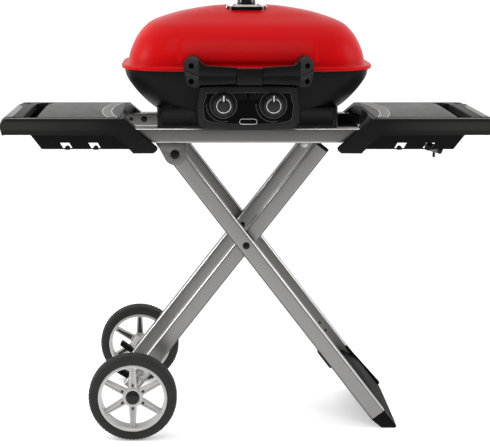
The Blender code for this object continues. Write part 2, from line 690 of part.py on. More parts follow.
def build_burners():
    for hand, sign in HANDS:
        x = sign * KNOB_X
        route = [(x, -0.1687, KNOB_Z), (x, -0.1400, KNOB_Z), (sign * 0.062, -0.1180, 0.7722),
                 (sign * 0.105, -0.0860, 0.7745), (sign * 0.124, -0.0690, BURNER_Z),
                 (sign * BURNER_X, -0.0480, BURNER_Z), (sign * BURNER_X, 0.1460, BURNER_Z)]
        part("burner_" + hand, tube_mesh(route, 0.0080, 2), ROOT, "burner")


def build_heat_shield():
    """Bent plate over the burners; the food drips on it and not on the flames."""
    thick = 0.0015
    low, high = 0.7890, 0.8080
    top = mirrored([(0.05, low), (BURNER_X, high), (0.200, low), (0.221, low)])
    bottom = [(0.221, low - thick), (0.200, low - thick), (BURNER_X, high - thick),
              (0.05, low - thick)]
    upper = sorted(top)
    lower = bottom + [(-x, z) for x, z in reversed(bottom)]
    loop = upper + lower
    part("heat_shield", outline_mesh([loop], FRONT_VIEW, -0.120, 0.120), ROOT, "burner")


def build_grids():
    """Two cast grates side by side, resting on lugs in the bowl."""
    x_low, x_high, half_y = 0.0015, 0.2640, 0.1660
    slots = 10
    pitch = (x_high - x_low - 0.010) / slots

    def edge(x):
        """Where the grate's outline runs, just inside the bowl's wall."""
        return min(half_y, 0.175 * (1 - (x / 0.268) ** RING_POWER) ** (1 / RING_POWER))

    corner = [(x, edge(x)) for x in (x_high, 0.2550, 0.2350, 0.2100, 0.1750)]
    outer = [(x_low, -half_y)] + [(x, -y) for x, y in reversed(corner)] + corner + [(x_low, half_y)]
    for hand, sign in HANDS:
        loops = [[(sign * x, y) for x, y in outer]]
        for i in range(slots):
            left = x_low + 0.0085 + i * pitch
            right = left + pitch - 0.0075
            reach = edge(right) - 0.010
            for y_low, y_high in ((-reach, -0.004), (0.004, reach)):
                loops.append([(sign * left, y_low), (sign * right, y_low),
                              (sign * right, y_high), (sign * left, y_high)])
        grid = outline_mesh(loops, PLAN_VIEW, 0.8318, 0.8388)
        part("cooking_grid_" + hand, grid, GRIDS[hand], "cast_iron")


def build_tray():
    """Grease tray, hung by its rims on two runners under the bowl; pulls out at the back."""
    tray = part("grease_tray", box_mesh((-0.1285, -0.1180, 0.7185), (0.1285, 0.1650, 0.7378)),
                TRAY, "tray")
    cut(tray, box_mesh((-0.1265, -0.1160, 0.7205), (0.1265, 0.1570, 0.7450)))
    for sign in (-1, 1):
        low, high = sorted((sign * 0.1280, sign * 0.1375))
        join(tray, box_mesh((low, -0.1180, 0.7354), (high, 0.1290, 0.7370)))


# ---- lid and handles ---------------------------------------------------------------
def build_lid():
    levels = [ring(x, y, z) for x, y, z in LID_RINGS]
    lid = part("lid_shell", loft_mesh(levels, False, True), LID, "lid")
    solidify(lid, LID_WALL)


def handle_plan():
    """Seen from above: two ears with a bar across in front of them."""
    gap_front = HANDLE_FRONT + 0.022
    back = -0.1700
    return mirrored([(0, HANDLE_FRONT), (0.034, HANDLE_FRONT), (0.1045, HANDLE_FRONT + 0.006),
                     (HANDLE_HALF, -0.2130), (HANDLE_HALF, back), (0.103, back),
                     (0.096, gap_front + 0.004), (0.090, gap_front), (0, gap_front)])


def build_handles(bowl_cutter, lid_cutter):
    seam = 0.8420
    beyond = HANDLE_HALF + 0.002          # just past the plan outline, which trims the ends
    upper = mirrored([(0, 0.857), (0.100, 0.857), (0.110, 0.8690), (0.1245, 0.8816),
                      (0.1345, 0.8765), (0.1395, 0.8690), (beyond, 0.8600),
                      (beyond, seam + CLEARANCE), (0, seam + CLEARANCE)])
    lower = mirrored([(0, seam - CLEARANCE), (beyond, seam - CLEARANCE),
                      (beyond, 0.8310), (0.1370, 0.8195), (0.1270, 0.8118),
                      (0.1140, 0.8150), (0.1040, 0.8235), (0.028, 0.8235), (0.026, 0.8205),
                      (0, 0.8205)])
    for name, profile, group, envelopes, bolt_z in (
            ("upper_handle", upper, LID, (lid_cutter, bowl_cutter), 0.860),
            ("lower_handle", lower, ROOT, (bowl_cutter,), 0.826)):
        handle = part(name, outline_mesh([handle_plan()], PLAN_VIEW, 0.80, 0.89), group,
                      "handle")
        combine(handle, "INTERSECT", outline_mesh([profile], FRONT_VIEW, 0.15, 0.27))
        for envelope in envelopes:
            use_cutter(handle, envelope)
        for sign in (-1, 1):
            x = sign * 0.1265
            cut(handle, cylinder_mesh((x, -0.27, bolt_z), (x, -0.2150, bolt_z), 0.0055, 12))


def build_thermometer(lid_cutter):
    plan = rounded_rectangle(0.093, 0.060, 0.018, 4, (0, THERMOMETER_Y))
    housing = part("thermometer_housing", outline_mesh([plan], PLAN_VIEW, 0.955, 0.9900), LID,
                   "chrome")
    use_cutter(housing, lid_cutter)
    profile = [(0, 0.0127), (0.0200, 0.0120), (0.0250, 0.0095), (0.0260, 0.0003), (0, 0.0003)]
    turned("thermometer_dial", profile, Vector((0, THERMOMETER_Y, 0.9900)), Z_AXIS, LID,
           "handle", 24)


def build_hinges(lid_cutter):
    """Leaves on the lid's back, between them and the bowl's lugs one long pin."""
    leaf = arc((HINGE_Y, HINGE_Z), 0.0065, 180, 360, 8) + [
        (HINGE_Y + 0.0065, 0.8640), (0.186, 0.8900), (0.165, 0.8900), (0.165, 0.8700),
        (0.1985, 0.8580)]
    for hand, sign in HANDS:
        low, high = sorted((sign * 0.1136, sign * 0.1216))
        obj = part("lid_hinge_" + hand, outline_mesh([leaf], SIDE_VIEW, low, high), LID, "bracket")
        cut(obj, cylinder_mesh((low - 0.01, HINGE_Y, HINGE_Z), (high + 0.01, HINGE_Y, HINGE_Z),
                               0.0033, 16))
        use_cutter(obj, lid_cutter)
    part("hinge_pin", cylinder_mesh((-0.1260, HINGE_Y, HINGE_Z), (0.1260, HINGE_Y, HINGE_Z),
                                    0.0030, 12), ROOT, "steel")


# ---- whole object ------------------------------------------------------------------
def body(name, place, parent=None):
    """A rigid body: an empty on its joint's axis, and where that is in cart coordinates."""
    place = Vector(place)
    offset = place - (parent["place"] if parent else Vector())
    empty = new_empty(name, offset, parent["empty"] if parent else None)
    return {"empty": empty, "place": place}


clear_scene()
PARTS = new_collection("folding_cart_grill")
CUTTERS = new_collection("cutters")
MATERIALS = {
    "rail": make_material("rail", (0.17, 0.17, 0.165), 0.38, 0.85),
    "leg": make_material("leg", (0.36, 0.35, 0.335), 0.42, 0.60),
    "bracket": make_material("bracket", (0.12, 0.12, 0.12), 0.45, 0.60),
    "bolt": make_material("bolt", (0.015, 0.015, 0.015), 0.40, 0.30),
    "steel": make_material("steel", (0.55, 0.55, 0.55), 0.30, 1.00),
    "chrome": make_material("chrome", (0.75, 0.75, 0.75), 0.08, 1.00),
    "foot": make_material("foot", (0.012, 0.012, 0.012), 0.60),
    "step": make_material("step", (0.055, 0.055, 0.052), 0.60),
    "tyre": make_material("tyre", (0.030, 0.030, 0.030), 0.75),
    "rim": make_material("rim", (0.58, 0.58, 0.57), 0.40, 0.20),
    "cap": make_material("cap", (0.015, 0.015, 0.015), 0.35),
    "shelf": make_material("shelf", (0.020, 0.020, 0.020), 0.50),
    "shelf_top": make_material("shelf_top", (0.155, 0.152, 0.150), 0.55),
    "grip": make_material("grip", (0.400, 0.395, 0.385), 0.50),
    "bowl": make_material("bowl", (0.010, 0.010, 0.010), 0.45, 0.20),
    "skirt": make_material("skirt", (0.013, 0.013, 0.013), 0.50),
    "panel": make_material("panel", (0.010, 0.010, 0.010), 0.40),
    "knob": make_material("knob", (0.022, 0.022, 0.022), 0.45),
    "valve": make_material("valve", (0.30, 0.28, 0.22), 0.35, 0.90),
    "pipe": make_material("pipe", (0.20, 0.20, 0.20), 0.40, 0.80),
    "burner": make_material("burner", (0.42, 0.41, 0.40), 0.35, 1.00),
    "cast_iron": make_material("cast_iron", (0.018, 0.018, 0.018), 0.65, 0.30),
    "tray": make_material("tray", (0.45, 0.45, 0.44), 0.35, 0.90),
    "lid": make_material("lid", (0.560, 0.016, 0.018), 0.30),
    "handle": make_material("handle", (0.023, 0.023, 0.022), 0.50),
}

ROOT = body("cart", (0, 0, 0))
ROOT["empty"].location = (0, BOX_SHIFT, 0)
LID = body("lid_axis", (0, HINGE_Y, HINGE_Z), ROOT)
OUTER = body("outer_legs_axis", PIVOT, ROOT)
INNER = body("inner_legs_axis", CROSS, OUTER)
WHEELS = {side: body(side + "_wheel_axis", at_y(AXLE, sign * WHEEL_Y), INNER)
          for side, sign in SIDES}
STEMS = {hand: body("stem_axis_" + hand, (sign * KNOB_X, PANEL_FRONT, KNOB_Z), ROOT)
         for hand, sign in HANDS}
KNOBS = {hand: body("knob_axis_" + hand, (sign * KNOB_X, PANEL_FRONT, KNOB_Z), STEMS[hand])
         for hand, sign in HANDS}
TRAY = body("tray_axis", (0, 0, 0.728), ROOT)
GRIDS = {hand: body("grid_axis_" + hand, (sign * 0.13, 0, 0.835), ROOT) for hand, sign in HANDS}

build_rails()
build_cross_bars()
build_slide_tracks()
build_pivot_brackets()
build_outer_legs()
build_foot_plate()
build_cross_bolts()
build_inner_legs()
build_axle()
for side_name, side_sign in SIDES:
    build_wheel(side_name, side_sign, WHEELS[side_name])
for hand_name, hand_sign in HANDS:
    build_shelf(hand_name, hand_sign)
BOWL_CUTTER = bowl_envelope()
LID_CUTTER = lid_envelope()
build_bowl()
build_skirt(BOWL_CUTTER)
build_control_panel(BOWL_CUTTER)
build_gas_parts()
build_inlet()
build_burners()
build_heat_shield()
build_grids()
build_tray()
build_lid()
build_handles(BOWL_CUTTER, LID_CUTTER)
build_thermometer(LID_CUTTER)
build_hinges(LID_CUTTER)
bpy.context.view_layer.update()
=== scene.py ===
"""Looks of the folding-cart gas grill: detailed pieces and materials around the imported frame.

Metres, +Z up. X runs to the cook's right and Y away from the cook. Pieces are drawn about the
cart's own middle plane, half-way between the wheels, and moved by MID_Y to where the frame is.
"""

import contextlib
import json
import math

import bmesh
import bpy
from mathutils import Matrix, Vector


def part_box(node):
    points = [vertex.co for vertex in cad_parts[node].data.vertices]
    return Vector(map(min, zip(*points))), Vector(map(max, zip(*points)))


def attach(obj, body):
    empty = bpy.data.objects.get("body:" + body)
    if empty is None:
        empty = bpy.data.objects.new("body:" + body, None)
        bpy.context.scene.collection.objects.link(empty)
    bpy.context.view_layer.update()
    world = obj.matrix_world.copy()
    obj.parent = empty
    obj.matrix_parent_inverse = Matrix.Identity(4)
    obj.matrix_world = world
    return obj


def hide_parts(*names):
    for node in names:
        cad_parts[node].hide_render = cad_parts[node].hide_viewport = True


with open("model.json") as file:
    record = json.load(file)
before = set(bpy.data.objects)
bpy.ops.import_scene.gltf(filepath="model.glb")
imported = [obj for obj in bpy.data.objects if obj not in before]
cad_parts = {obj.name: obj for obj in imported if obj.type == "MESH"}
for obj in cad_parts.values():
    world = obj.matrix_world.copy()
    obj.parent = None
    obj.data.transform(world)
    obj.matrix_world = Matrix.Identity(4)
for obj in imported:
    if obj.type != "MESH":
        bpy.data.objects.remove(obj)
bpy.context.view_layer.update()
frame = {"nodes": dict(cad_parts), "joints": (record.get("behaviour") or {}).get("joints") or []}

# ---- places read from the frame --------------------------------------------------
JOINTS = {joint["name"]: joint for joint in frame["joints"]}
X_AXIS, Y_AXIS, Z_AXIS = Vector((1, 0, 0)), Vector((0, 1, 0)), Vector((0, 0, 1))


def middle(node):
    low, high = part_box(node)
    return (low + high) / 2


MID_Y = middle("axle").y
TO_CART = Vector((0, -MID_Y, 0))


def cart_box(node):
    low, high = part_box(node)
    return low + TO_CART, high + TO_CART


def joint_place(name):
    return Vector(JOINTS[name]["pos_m"]) + TO_CART


PIVOT = joint_place("outer_leg_fold")
CROSS = joint_place("inner_leg_fold")
AXLE = joint_place("front_wheel_spin")
AXLE.y = 0
HINGE = joint_place("lid_hinge")
WHEEL_Y = joint_place("rear_wheel_spin").y
WHEEL_RADIUS = (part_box("front_tyre")[1].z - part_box("front_tyre")[0].z) / 2
LEG_ANGLE = math.atan2(PIVOT.z - CROSS.z, CROSS.x - PIVOT.x)
OUTER_ALONG = Vector((math.cos(LEG_ANGLE), 0, -math.sin(LEG_ANGLE)))
INNER_ALONG = Vector((-math.cos(LEG_ANGLE), 0, -math.sin(LEG_ANGLE)))
OUTER_ACROSS = Vector((math.sin(LEG_ANGLE), 0, math.cos(LEG_ANGLE)))
INNER_ACROSS = Vector((-math.sin(LEG_ANGLE), 0, math.cos(LEG_ANGLE)))
AXLE_REACH = (AXLE - CROSS).length
PIVOT_REACH = (PIVOT - CROSS).length
BOLT_HOLE = 0.0043      # radius of the legs' bolt holes
AXLE_HOLE = 0.0063
KNUCKLE, PIN_HOLE = 0.0065, 0.0033      # lid hinge, radii
SIDES = (("front", -1), ("rear", 1))
HANDS = (("left", -1), ("right", 1))


# ---- materials ---------------------------------------------------------------------
def rgb(red, green, blue):
    """Linear colour from 0-255 screen values."""
    def linear(value):
        value /= 255
        return value / 12.92 if value <= 0.04045 else ((value + 0.055) / 1.055) ** 2.4
    return tuple(linear(v) for v in (red, green, blue))


def add_node(tree, kind, output, inputs, **settings):
    """Adds a shader node, sets or links its inputs, and gives back one of its outputs."""
    node = tree.nodes.new("ShaderNode" + kind)
    for key, value in settings.items():
        setattr(node, key, value)
    for key, value in inputs.items():
        if isinstance(value, bpy.types.NodeSocket):
            tree.links.new(value, node.inputs[key])
        else:
            node.inputs[key].default_value = value
    return node.outputs[output]


def map_range(tree, value, start, end, low, high, **settings):
    return add_node(tree, "MapRange", "Result",
                    {"Value": value, "From Min": start, "From Max": end, "To Min": low,
                     "To Max": high}, **settings)


def colour_ramp(tree, value, stops, interpolation="LINEAR"):
    """Colours at positions from 0 to 1."""
    output = add_node(tree, "ValToRGB", "Color", {"Fac": value})
    ramp = output.node.color_ramp
    ramp.interpolation = interpolation
    while len(ramp.elements) < len(stops):
        ramp.elements.new(0.5)
    for element, (position, _) in zip(ramp.elements, stops):
        element.position = position
    for element, (_, colour) in zip(ramp.elements, stops):
        element.color = (*colour, 1)
    return output


def multiplied(tree, first, second):
    return add_node(tree, "Mix", "Result", {"Factor": 1.0, "A": first, "B": second},
                    data_type="RGBA", blend_type="MULTIPLY")


def surface(name, colour, roughness, metallic=0.0, mottle=0.10, patch=14.0, rough_spread=0.07,
            grain=900.0, bump=0.10, depth=0.0002, coat=0.0, specular=0.3, stretch=None, turn=0.0,
            speck=0.0, cells=None):
    """A procedural finish: colour patches, uneven gloss and a fine relief, all in object space.

    stretch scales the pattern along X, Y and Z (after a turn about Y) for drawn or brushed metal;
    speck adds fine metallic flecks to the colour; cells adds a leather-like grain of that scale.
    """
    material = bpy.data.materials.new(name)
    material.use_nodes = True
    tree = material.node_tree
    shader = tree.nodes["Principled BSDF"].inputs
    for key, value in (("Metallic", metallic), ("Coat Weight", coat), ("Coat Roughness", 0.12),
                       ("Specular IOR Level", specular)):
        shader[key].default_value = value
    place = add_node(tree, "TexCoord", "Object", {})
    if stretch:
        scale = [1 / s for s in stretch]
        place = add_node(tree, "Mapping", "Vector",
                         {"Vector": place, "Rotation": (0, turn, 0), "Scale": scale},
                         vector_type="TEXTURE")

    def noise(scale, detail=3.0):
        return add_node(tree, "TexNoise", "Fac", {"Vector": place, "Scale": scale,
                                                  "Detail": detail})

    shade = colour_ramp(tree, noise(patch), [(0.30, [c * (1 - mottle) for c in colour]),
                                             (0.70, [min(1, c * (1 + mottle)) for c in colour])])
    if speck:
        flecks = [(0.35, [1 - speck] * 3), (0.75, [1 + speck] * 3)]
        shade = multiplied(tree, shade, colour_ramp(tree, noise(FLECK_SCALE, 1.0), flecks))
    tree.links.new(shade, shader["Base Color"])
    gloss = map_range(tree, noise(patch * 5), 0.25, 0.75, max(0.02, roughness - rough_spread),
                      roughness + rough_spread)
    tree.links.new(gloss, shader["Roughness"])
    relief = add_node(tree, "Bump", "Normal",
                      {"Strength": bump, "Distance": depth, "Height": noise(grain, 2.0)})
    if cells:
        leather = add_node(tree, "TexVoronoi", "Distance", {"Scale": cells, "Vector": place},
                           feature="SMOOTH_F1")
        relief = add_node(tree, "Bump", "Normal", {"Strength": 0.5, "Distance": depth,
                                                   "Height": leather, "Normal": relief})
    tree.links.new(relief, shader["Normal"])
    return material


def painted_light_by_facing(material, *sides):
    """Painted light and shade: the colour turns towards a painted highlight or painted shade on the
    faces and rounded edges that point one way.

    A side is a direction, the cosines where the colour starts and is full, and its amount. Edges in
    painted shade lose their metal as well, so that they don't mirror a bright wall.
    """
    tree = material.node_tree
    shader = tree.nodes["Principled BSDF"].inputs
    normal = add_node(tree, "TexCoord", "Normal", {})
    for direction, start, end, colour, amount in sides:
        cosine = tree.nodes.new("ShaderNodeVectorMath")
        cosine.operation = "DOT_PRODUCT"
        cosine.inputs[1].default_value = Vector(direction).normalized()
        tree.links.new(normal, cosine.inputs[0])
        share = map_range(tree, cosine.outputs["Value"], start, end, 0, amount,
                          interpolation_type="SMOOTHSTEP")
        paint = shader["Base Color"].links[0].from_socket
        tree.links.new(add_node(tree, "Mix", "Result", {"Factor": share, "A": paint,
                                                        "B": (*colour, 1)}, data_type="RGBA"),
                       shader["Base Color"])
        if colour == PAINTED_SHADE:
            metal = shader["Metallic"]
            before = metal.links[0].from_socket if metal.links else metal.default_value
            tree.links.new(add_node(tree, "Mix", "Result",
                                    {"Factor": share, "A": before, "B": 0.0}), metal)


def painted_shade_along(material, axis, *stops):
    """Painted shade: multiplies the colour by a strength that changes with height or distance from
    the middle.
    """
    tree = material.node_tree
    paint = tree.nodes["Principled BSDF"].inputs["Base Color"]
    place = add_node(tree, "SeparateXYZ", axis,
                     {"Vector": add_node(tree, "TexCoord", "Object", {})})
    size = tree.nodes.new("ShaderNodeMath")
    size.operation = "ABSOLUTE"
    tree.links.new(place, size.inputs[0])
    low, high = stops[0][0], stops[-1][0]
    where = map_range(tree, size.outputs["Value"], low, high, 0.0, 1.0)
    greys = [((at - low) / (high - low), [strength] * 3) for at, strength in stops]
    tree.links.new(multiplied(tree, paint.links[0].from_socket,
                              colour_ramp(tree, where, greys, "EASE")), paint)


FLECK_SCALE = 2600.0
# Colours of the painted highlights and painted shade on edges and faces.
PAINTED_HIGHLIGHT, PAINTED_SHADE = (0.92, 0.92, 0.91), (0.012, 0.012, 0.012)
MATERIALS = {
    "rail": surface("rail_paint", rgb(114, 112, 110), 0.34, 0.85, 0.06, 9, 0.05, 1500, 0.10,
                    specular=0.10, speck=0.12, stretch=(0.25, 1, 1)),
    "leg_outer": surface("outer_leg_paint", rgb(140, 139, 137), 0.32, 0.85, 0.05, 6, 0.05, 1500,
                         0.10, specular=0.10, speck=0.10, stretch=(0.12, 1, 1), turn=LEG_ANGLE),
    "leg_inner": surface("inner_leg_paint", rgb(136, 135, 133), 0.32, 0.85, 0.05, 6, 0.05, 1500,
                         0.10, specular=0.10, speck=0.10, stretch=(0.12, 1, 1), turn=-LEG_ANGLE),
    # A darker copy of the leg paint for the rear legs: painted shade for the grill's shadow on
    # them.
    "leg_rear_shaded": surface("rear_leg_paint_painted_shade", rgb(116, 115, 112), 0.32, 0.85, 0.05, 6, 0.05, 1500,
                        0.10, specular=0.10, speck=0.10, stretch=(0.12, 1, 1), turn=LEG_ANGLE),
    "bracket": surface("bracket_paint", rgb(108, 107, 104), 0.38, 0.80, 0.06, 20, speck=0.12),
    "hinge": surface("hinge_black", rgb(26, 26, 26), 0.42, 0.4, 0.10, 30),
    "bolt": surface("black_oxide", rgb(22, 22, 22), 0.34, 0.5, 0.20, 160, 0.08, 700, 0.15),
    "steel": surface("zinc_steel", rgb(190, 190, 188), 0.28, 1.0, 0.08, 90, 0.08, 500, 0.12),
    "chrome": surface("chrome_plate", rgb(214, 214, 214), 0.10, 1.0, 0.05, 60, 0.04, 300, 0.05),
    "foot": surface("foot_black", rgb(9, 9, 9), 0.55, 0.0, 0.12, 40, 0.06, 1400, 0.25,
                    specular=0.10),
    "step": surface("step_plastic", rgb(52, 51, 50), 0.70, 0.0, 0.10, 30, 0.06, 1400, 0.30,
                    specular=0.05),
    "step_dark": surface("step_dark", rgb(10, 10, 10), 0.65, 0.0, 0.10, 30, 0.06, 1400, 0.20,
                         specular=0.05),
    "tyre": surface("tyre_rubber", rgb(42, 42, 41), 0.72, 0.0, 0.14, 25, 0.08, 900, 0.35),
    "rim": surface("rim_paint", rgb(196, 195, 193), 0.34, 0.20, 0.04, 30, 0.05, 1800, 0.10),
    # Painted shade for the spoke hollows.
    "spoke_hollow_shade": surface("spoke_hollow_shade", rgb(52, 52, 51), 0.6, 0.0, 0.10, 30),
    "cap": surface("cap_black", rgb(24, 24, 24), 0.36, 0.0, 0.10, 60, 0.05, 1200, 0.15),
    "shelf": surface("shelf_plastic", rgb(42, 42, 41), 0.50, 0.0, 0.10, 12, 0.05, 1100, 0.30,
                     cells=420, specular=0.20),
    "shelf_low": surface("shelf_lower_plastic", rgb(6, 6, 6), 0.60, 0.0, 0.10, 12, 0.05, 1100,
                         0.30, cells=420, specular=0.12),
    "shelf_top": surface("shelf_top_plastic", rgb(56, 55, 54), 0.50, 0.0, 0.05, 8, 0.06, 1600,
                         0.35, speck=0.10, specular=0.40),
    "shelf_band": surface("shelf_band_plastic", rgb(112, 110, 108), 0.50, 0.0, 0.04, 10, 0.05,
                          1600, 0.35, speck=0.08),
    # Painted shade for the shelf's inner end, where it curves down towards the grill.
    "shelf_end": surface("shelf_end_painted_shade", rgb(48, 47, 46), 0.50, 0.0, 0.06, 10, 0.05, 1600,
                         0.35, speck=0.08),
    "shelf_line": surface("shelf_line_paint", rgb(216, 214, 210), 0.40, 0.0, 0.03, 40),
    "grip": surface("grip_plastic", rgb(122, 121, 118), 0.46, 0.0, 0.04, 12, 0.05, 1500, 0.25,
                    speck=0.05),
    "grip_dark": surface("grip_dark_rubber", rgb(44, 44, 43), 0.60, 0.0, 0.08, 20, 0.05, 1500,
                         0.30),
    "bowl": surface("bowl_enamel", rgb(10, 10, 10), 0.46, 0.0, 0.12, 9, 0.06, 420, 0.30,
                    depth=0.0003, specular=0.10, speck=0.2),
    "skirt": surface("skirt_enamel", rgb(11, 11, 11), 0.36, 0.0, 0.10, 14, 0.05, 900, 0.25,
                     specular=0.16),
    # Near-black inner panel: its own black made darker still, as painted shade for the handle's
    # shadow.
    "panel": surface("panel_plastic_with_painted_shade", rgb(5, 5, 5), 0.45, 0.0, 0.10, 16, 0.05, 1300, 0.20,
                     specular=0.06),
    "bezel": surface("bezel_plastic", rgb(24, 24, 24), 0.40, 0.0, 0.08, 16, 0.05, 1300, 0.20,
                     specular=0.22),
    "knob": surface("knob_plastic", rgb(27, 27, 27), 0.40, 0.0, 0.08, 40, 0.05, 1300, 0.20),
    "silver": surface("silver_trim", rgb(200, 200, 198), 0.22, 1.0, 0.05, 120, 0.05, 700, 0.08),
    "valve": surface("valve_brass", rgb(150, 132, 92), 0.34, 1.0, 0.10, 60, 0.08, 700, 0.15),
    "nut": surface("grey_nut", rgb(120, 118, 114), 0.40, 0.7, 0.08, 60),
    "pipe": surface("pipe_metal", rgb(112, 111, 108), 0.38, 0.9, 0.10, 40, 0.08, 700, 0.15),
    "burner": surface("burner_steel", rgb(150, 142, 130), 0.36, 1.0, 0.22, 16, 0.12, 400, 0.20),
    "cast_iron": surface("grid_iron", rgb(30, 29, 28), 0.58, 0.3, 0.18, 40, 0.10, 500, 0.55,
                         depth=0.0004),
    "tray": surface("tray_aluminium", rgb(168, 167, 164), 0.36, 0.95, 0.06, 12, 0.10, 700, 0.12,
                    stretch=(0.1, 1, 1)),
    "lid": surface("lid_enamel", rgb(200, 7, 12), 0.36, 0.0, 0.03, 7, 0.04, 420, 0.40,
                   depth=0.0005, specular=0.08, speck=0.14),
    "lid_inside": surface("lid_inside_enamel", rgb(32, 31, 31), 0.5, 0.0, 0.15, 10),
    "handle": surface("handle_plastic", rgb(11, 11, 11), 0.38, 0.0, 0.07, 18, 0.05, 1300, 0.25,
                      specular=0.17),
    "handle_dark": surface("handle_recess", rgb(5, 5, 5), 0.6, 0.0, 0.10, 60, specular=0.08),
    "gasket": surface("gasket_black", rgb(7, 7, 7), 0.60, 0.0, 0.10, 60, 0.05, 900, 0.2,
                      specular=0.10),
    "dial": surface("dial_black", rgb(16, 16, 16), 0.16, 0.0, 0.10, 60, 0.03, 300, 0.03, coat=0.6),
    "dial_face": surface("dial_face_grey", rgb(92, 92, 94), 0.30, 0.3, 0.08, 80, coat=0.5),
    "panel_raised": surface("panel_raised", rgb(46, 46, 46), 0.42, 0.0, 0.08, 40),
    # Grey lines that are painted highlights on the edges round the knob recesses and the inner
    # panel.
    "panel_edge_highlight": surface("panel_edge_highlight", rgb(86, 86, 86), 0.40, 0.0, 0.08, 40),
    "knob_disc": surface("knob_disc", rgb(34, 34, 34), 0.45, 0.0, 0.08, 60, 0.05, 1500, 0.3),
    "pointer": surface("pointer_white", rgb(226, 226, 226), 0.40, 0.0, 0.03, 90),
    "floor": surface("floor_paint", rgb(246, 246, 246), 0.75, 0.0, 0.004, 1.5, 0.03, 60, 0.01,
                     specular=0.1),
}
FLOOR_SHADER = MATERIALS["floor"].node_tree.nodes["Principled BSDF"].inputs
FLOOR_SHADER["Emission Color"].default_value = (1, 1, 1, 1)
FLOOR_SHADER["Emission Strength"].default_value = 0.35

# Painted light on the leg tubes: a painted highlight along the upper front corner, painted shade on
# the upper face, the far upper corner, the lower front corner and the lower face.
for key, across in (("leg_outer", OUTER_ACROSS), ("leg_rear_shaded", OUTER_ACROSS),
                    ("leg_inner", INNER_ACROSS)):
    painted_light_by_facing(MATERIALS[key], (across, 0.86, 0.97, rgb(70, 70, 69), 0.75),
                 (across - Y_AXIS, 0.935, 0.985, PAINTED_HIGHLIGHT, 0.75),
                 (across + Y_AXIS, 0.74, 0.84, PAINTED_SHADE, 0.95),
                 (-across - Y_AXIS, 0.93, 0.98, PAINTED_SHADE, 0.7),
                 (-across, 0.88, 0.98, rgb(60, 60, 59), 0.8))
# Painted shade on the lid: darker red on the faces turned to the front and a little down, and on
# the top.
painted_light_by_facing(MATERIALS["lid"], (-Z_AXIS * 0.2 - Y_AXIS, 0.90, 1.0, rgb(140, 4, 8), 0.60),
             (Z_AXIS, 0.70, 1.0, rgb(158, 4, 8), 0.40))
# Painted highlights along the upper and lower front edges of the rails, and painted shade on their
# undersides.
painted_light_by_facing(MATERIALS["rail"], (Z_AXIS - Y_AXIS, 0.90, 0.97, PAINTED_HIGHLIGHT, 0.50),
             (-Z_AXIS - Y_AXIS, 0.90, 0.97, PAINTED_HIGHLIGHT, 0.50), (-Z_AXIS, 0.92, 0.99, PAINTED_SHADE, 0.8))
# Painted light on the shelf moulding: painted shade under the top edge and low down, with a lighter
# lit band at mid-height.
painted_shade_along(MATERIALS["shelf"], "Z", (0.6580, 0.10), (0.6960, 0.12), (0.7060, 0.25),
             (0.7160, 0.95), (0.7270, 1.0), (0.7320, 0.55), (0.7345, 0.05), (0.7362, 0.05),
             (0.7380, 0.40))
# Painted shade towards the shelf's inner end, next to the grill.
painted_shade_along(MATERIALS["shelf"], "X", (0.20, 0.06), (0.29, 0.10), (0.38, 0.60), (0.50, 1.0))


# ---- meshes ----------------------------------------------------------------------
def axes_matrix(place, x_axis, y_axis):
    """Local X and Y lie along the two given directions, local Z along their cross product."""
    matrix = Matrix((x_axis, y_axis, x_axis.cross(y_axis))).transposed().to_4x4()
    matrix.translation = place
    return matrix


FRONT_VIEW = axes_matrix(Vector(), X_AXIS, Z_AXIS)      # outline in X and Z, depth along -Y
PLAN_VIEW = Matrix.Identity(4)                          # outline in X and Y, depth along Z
SIDE_VIEW = axes_matrix(Vector(), Y_AXIS, Z_AXIS)       # outline in Y and Z, depth along X


SAME_PLACE = 1e-6       # points closer than this are one


def linked(obj):
    bpy.context.scene.collection.objects.link(obj)
    return obj


def mesh_of(points, faces):
    mesh = bpy.data.meshes.new("mesh")
    mesh.from_pydata([tuple(p) for p in points], [], faces)
    return mesh


@contextlib.contextmanager
def editing(mesh):
    """The mesh as a BMesh, written back at the end of the block."""
    bm = bmesh.new()
    bm.from_mesh(mesh)
    yield bm
    bm.to_mesh(mesh)
    bm.free()


def facing_out(mesh):
    with editing(mesh) as bm:
        bmesh.ops.recalc_face_normals(bm, faces=bm.faces)
    return mesh


def evaluated(data):
    """The mesh of an object made from the data, with its modifiers."""
    holder = linked(bpy.data.objects.new("holder", data))
    return holder, lambda: bpy.data.meshes.new_from_object(
        holder.evaluated_get(bpy.context.evaluated_depsgraph_get()))


def with_modifier(mesh, kind, **settings):
    """The mesh after one modifier; the original is used up."""
    holder, result_of = evaluated(mesh)
    modifier = holder.modifiers.new(kind, kind)
    for key, value in settings.items():
        setattr(modifier, key, value)
    result = result_of()
    bpy.data.objects.remove(holder)
    bpy.data.meshes.remove(mesh)
    return result


def boolean(mesh, other, operation):
    cutter = linked(bpy.data.objects.new("cutter", other))
    result = with_modifier(mesh, "BOOLEAN", operation=operation, solver="EXACT", object=cutter)
    bpy.data.objects.remove(cutter)
    bpy.data.meshes.remove(other)
    return result


def cut(mesh, *others):
    for other in others:
        mesh = boolean(mesh, other, "DIFFERENCE")
    return mesh


def rounded(mesh, width, segments=3, angle=35):
    """Rounded edges wherever two faces meet at more than the angle."""
    with editing(mesh) as bm:
        bmesh.ops.remove_doubles(bm, verts=bm.verts, dist=SAME_PLACE)
        bmesh.ops.dissolve_limit(bm, angle_limit=math.radians(0.5), verts=bm.verts, edges=bm.edges)
    return with_modifier(mesh, "BEVEL", width=width, segments=segments, limit_method="ANGLE",
                         angle_limit=math.radians(angle), harden_normals=False,
                         use_clamp_overlap=True)


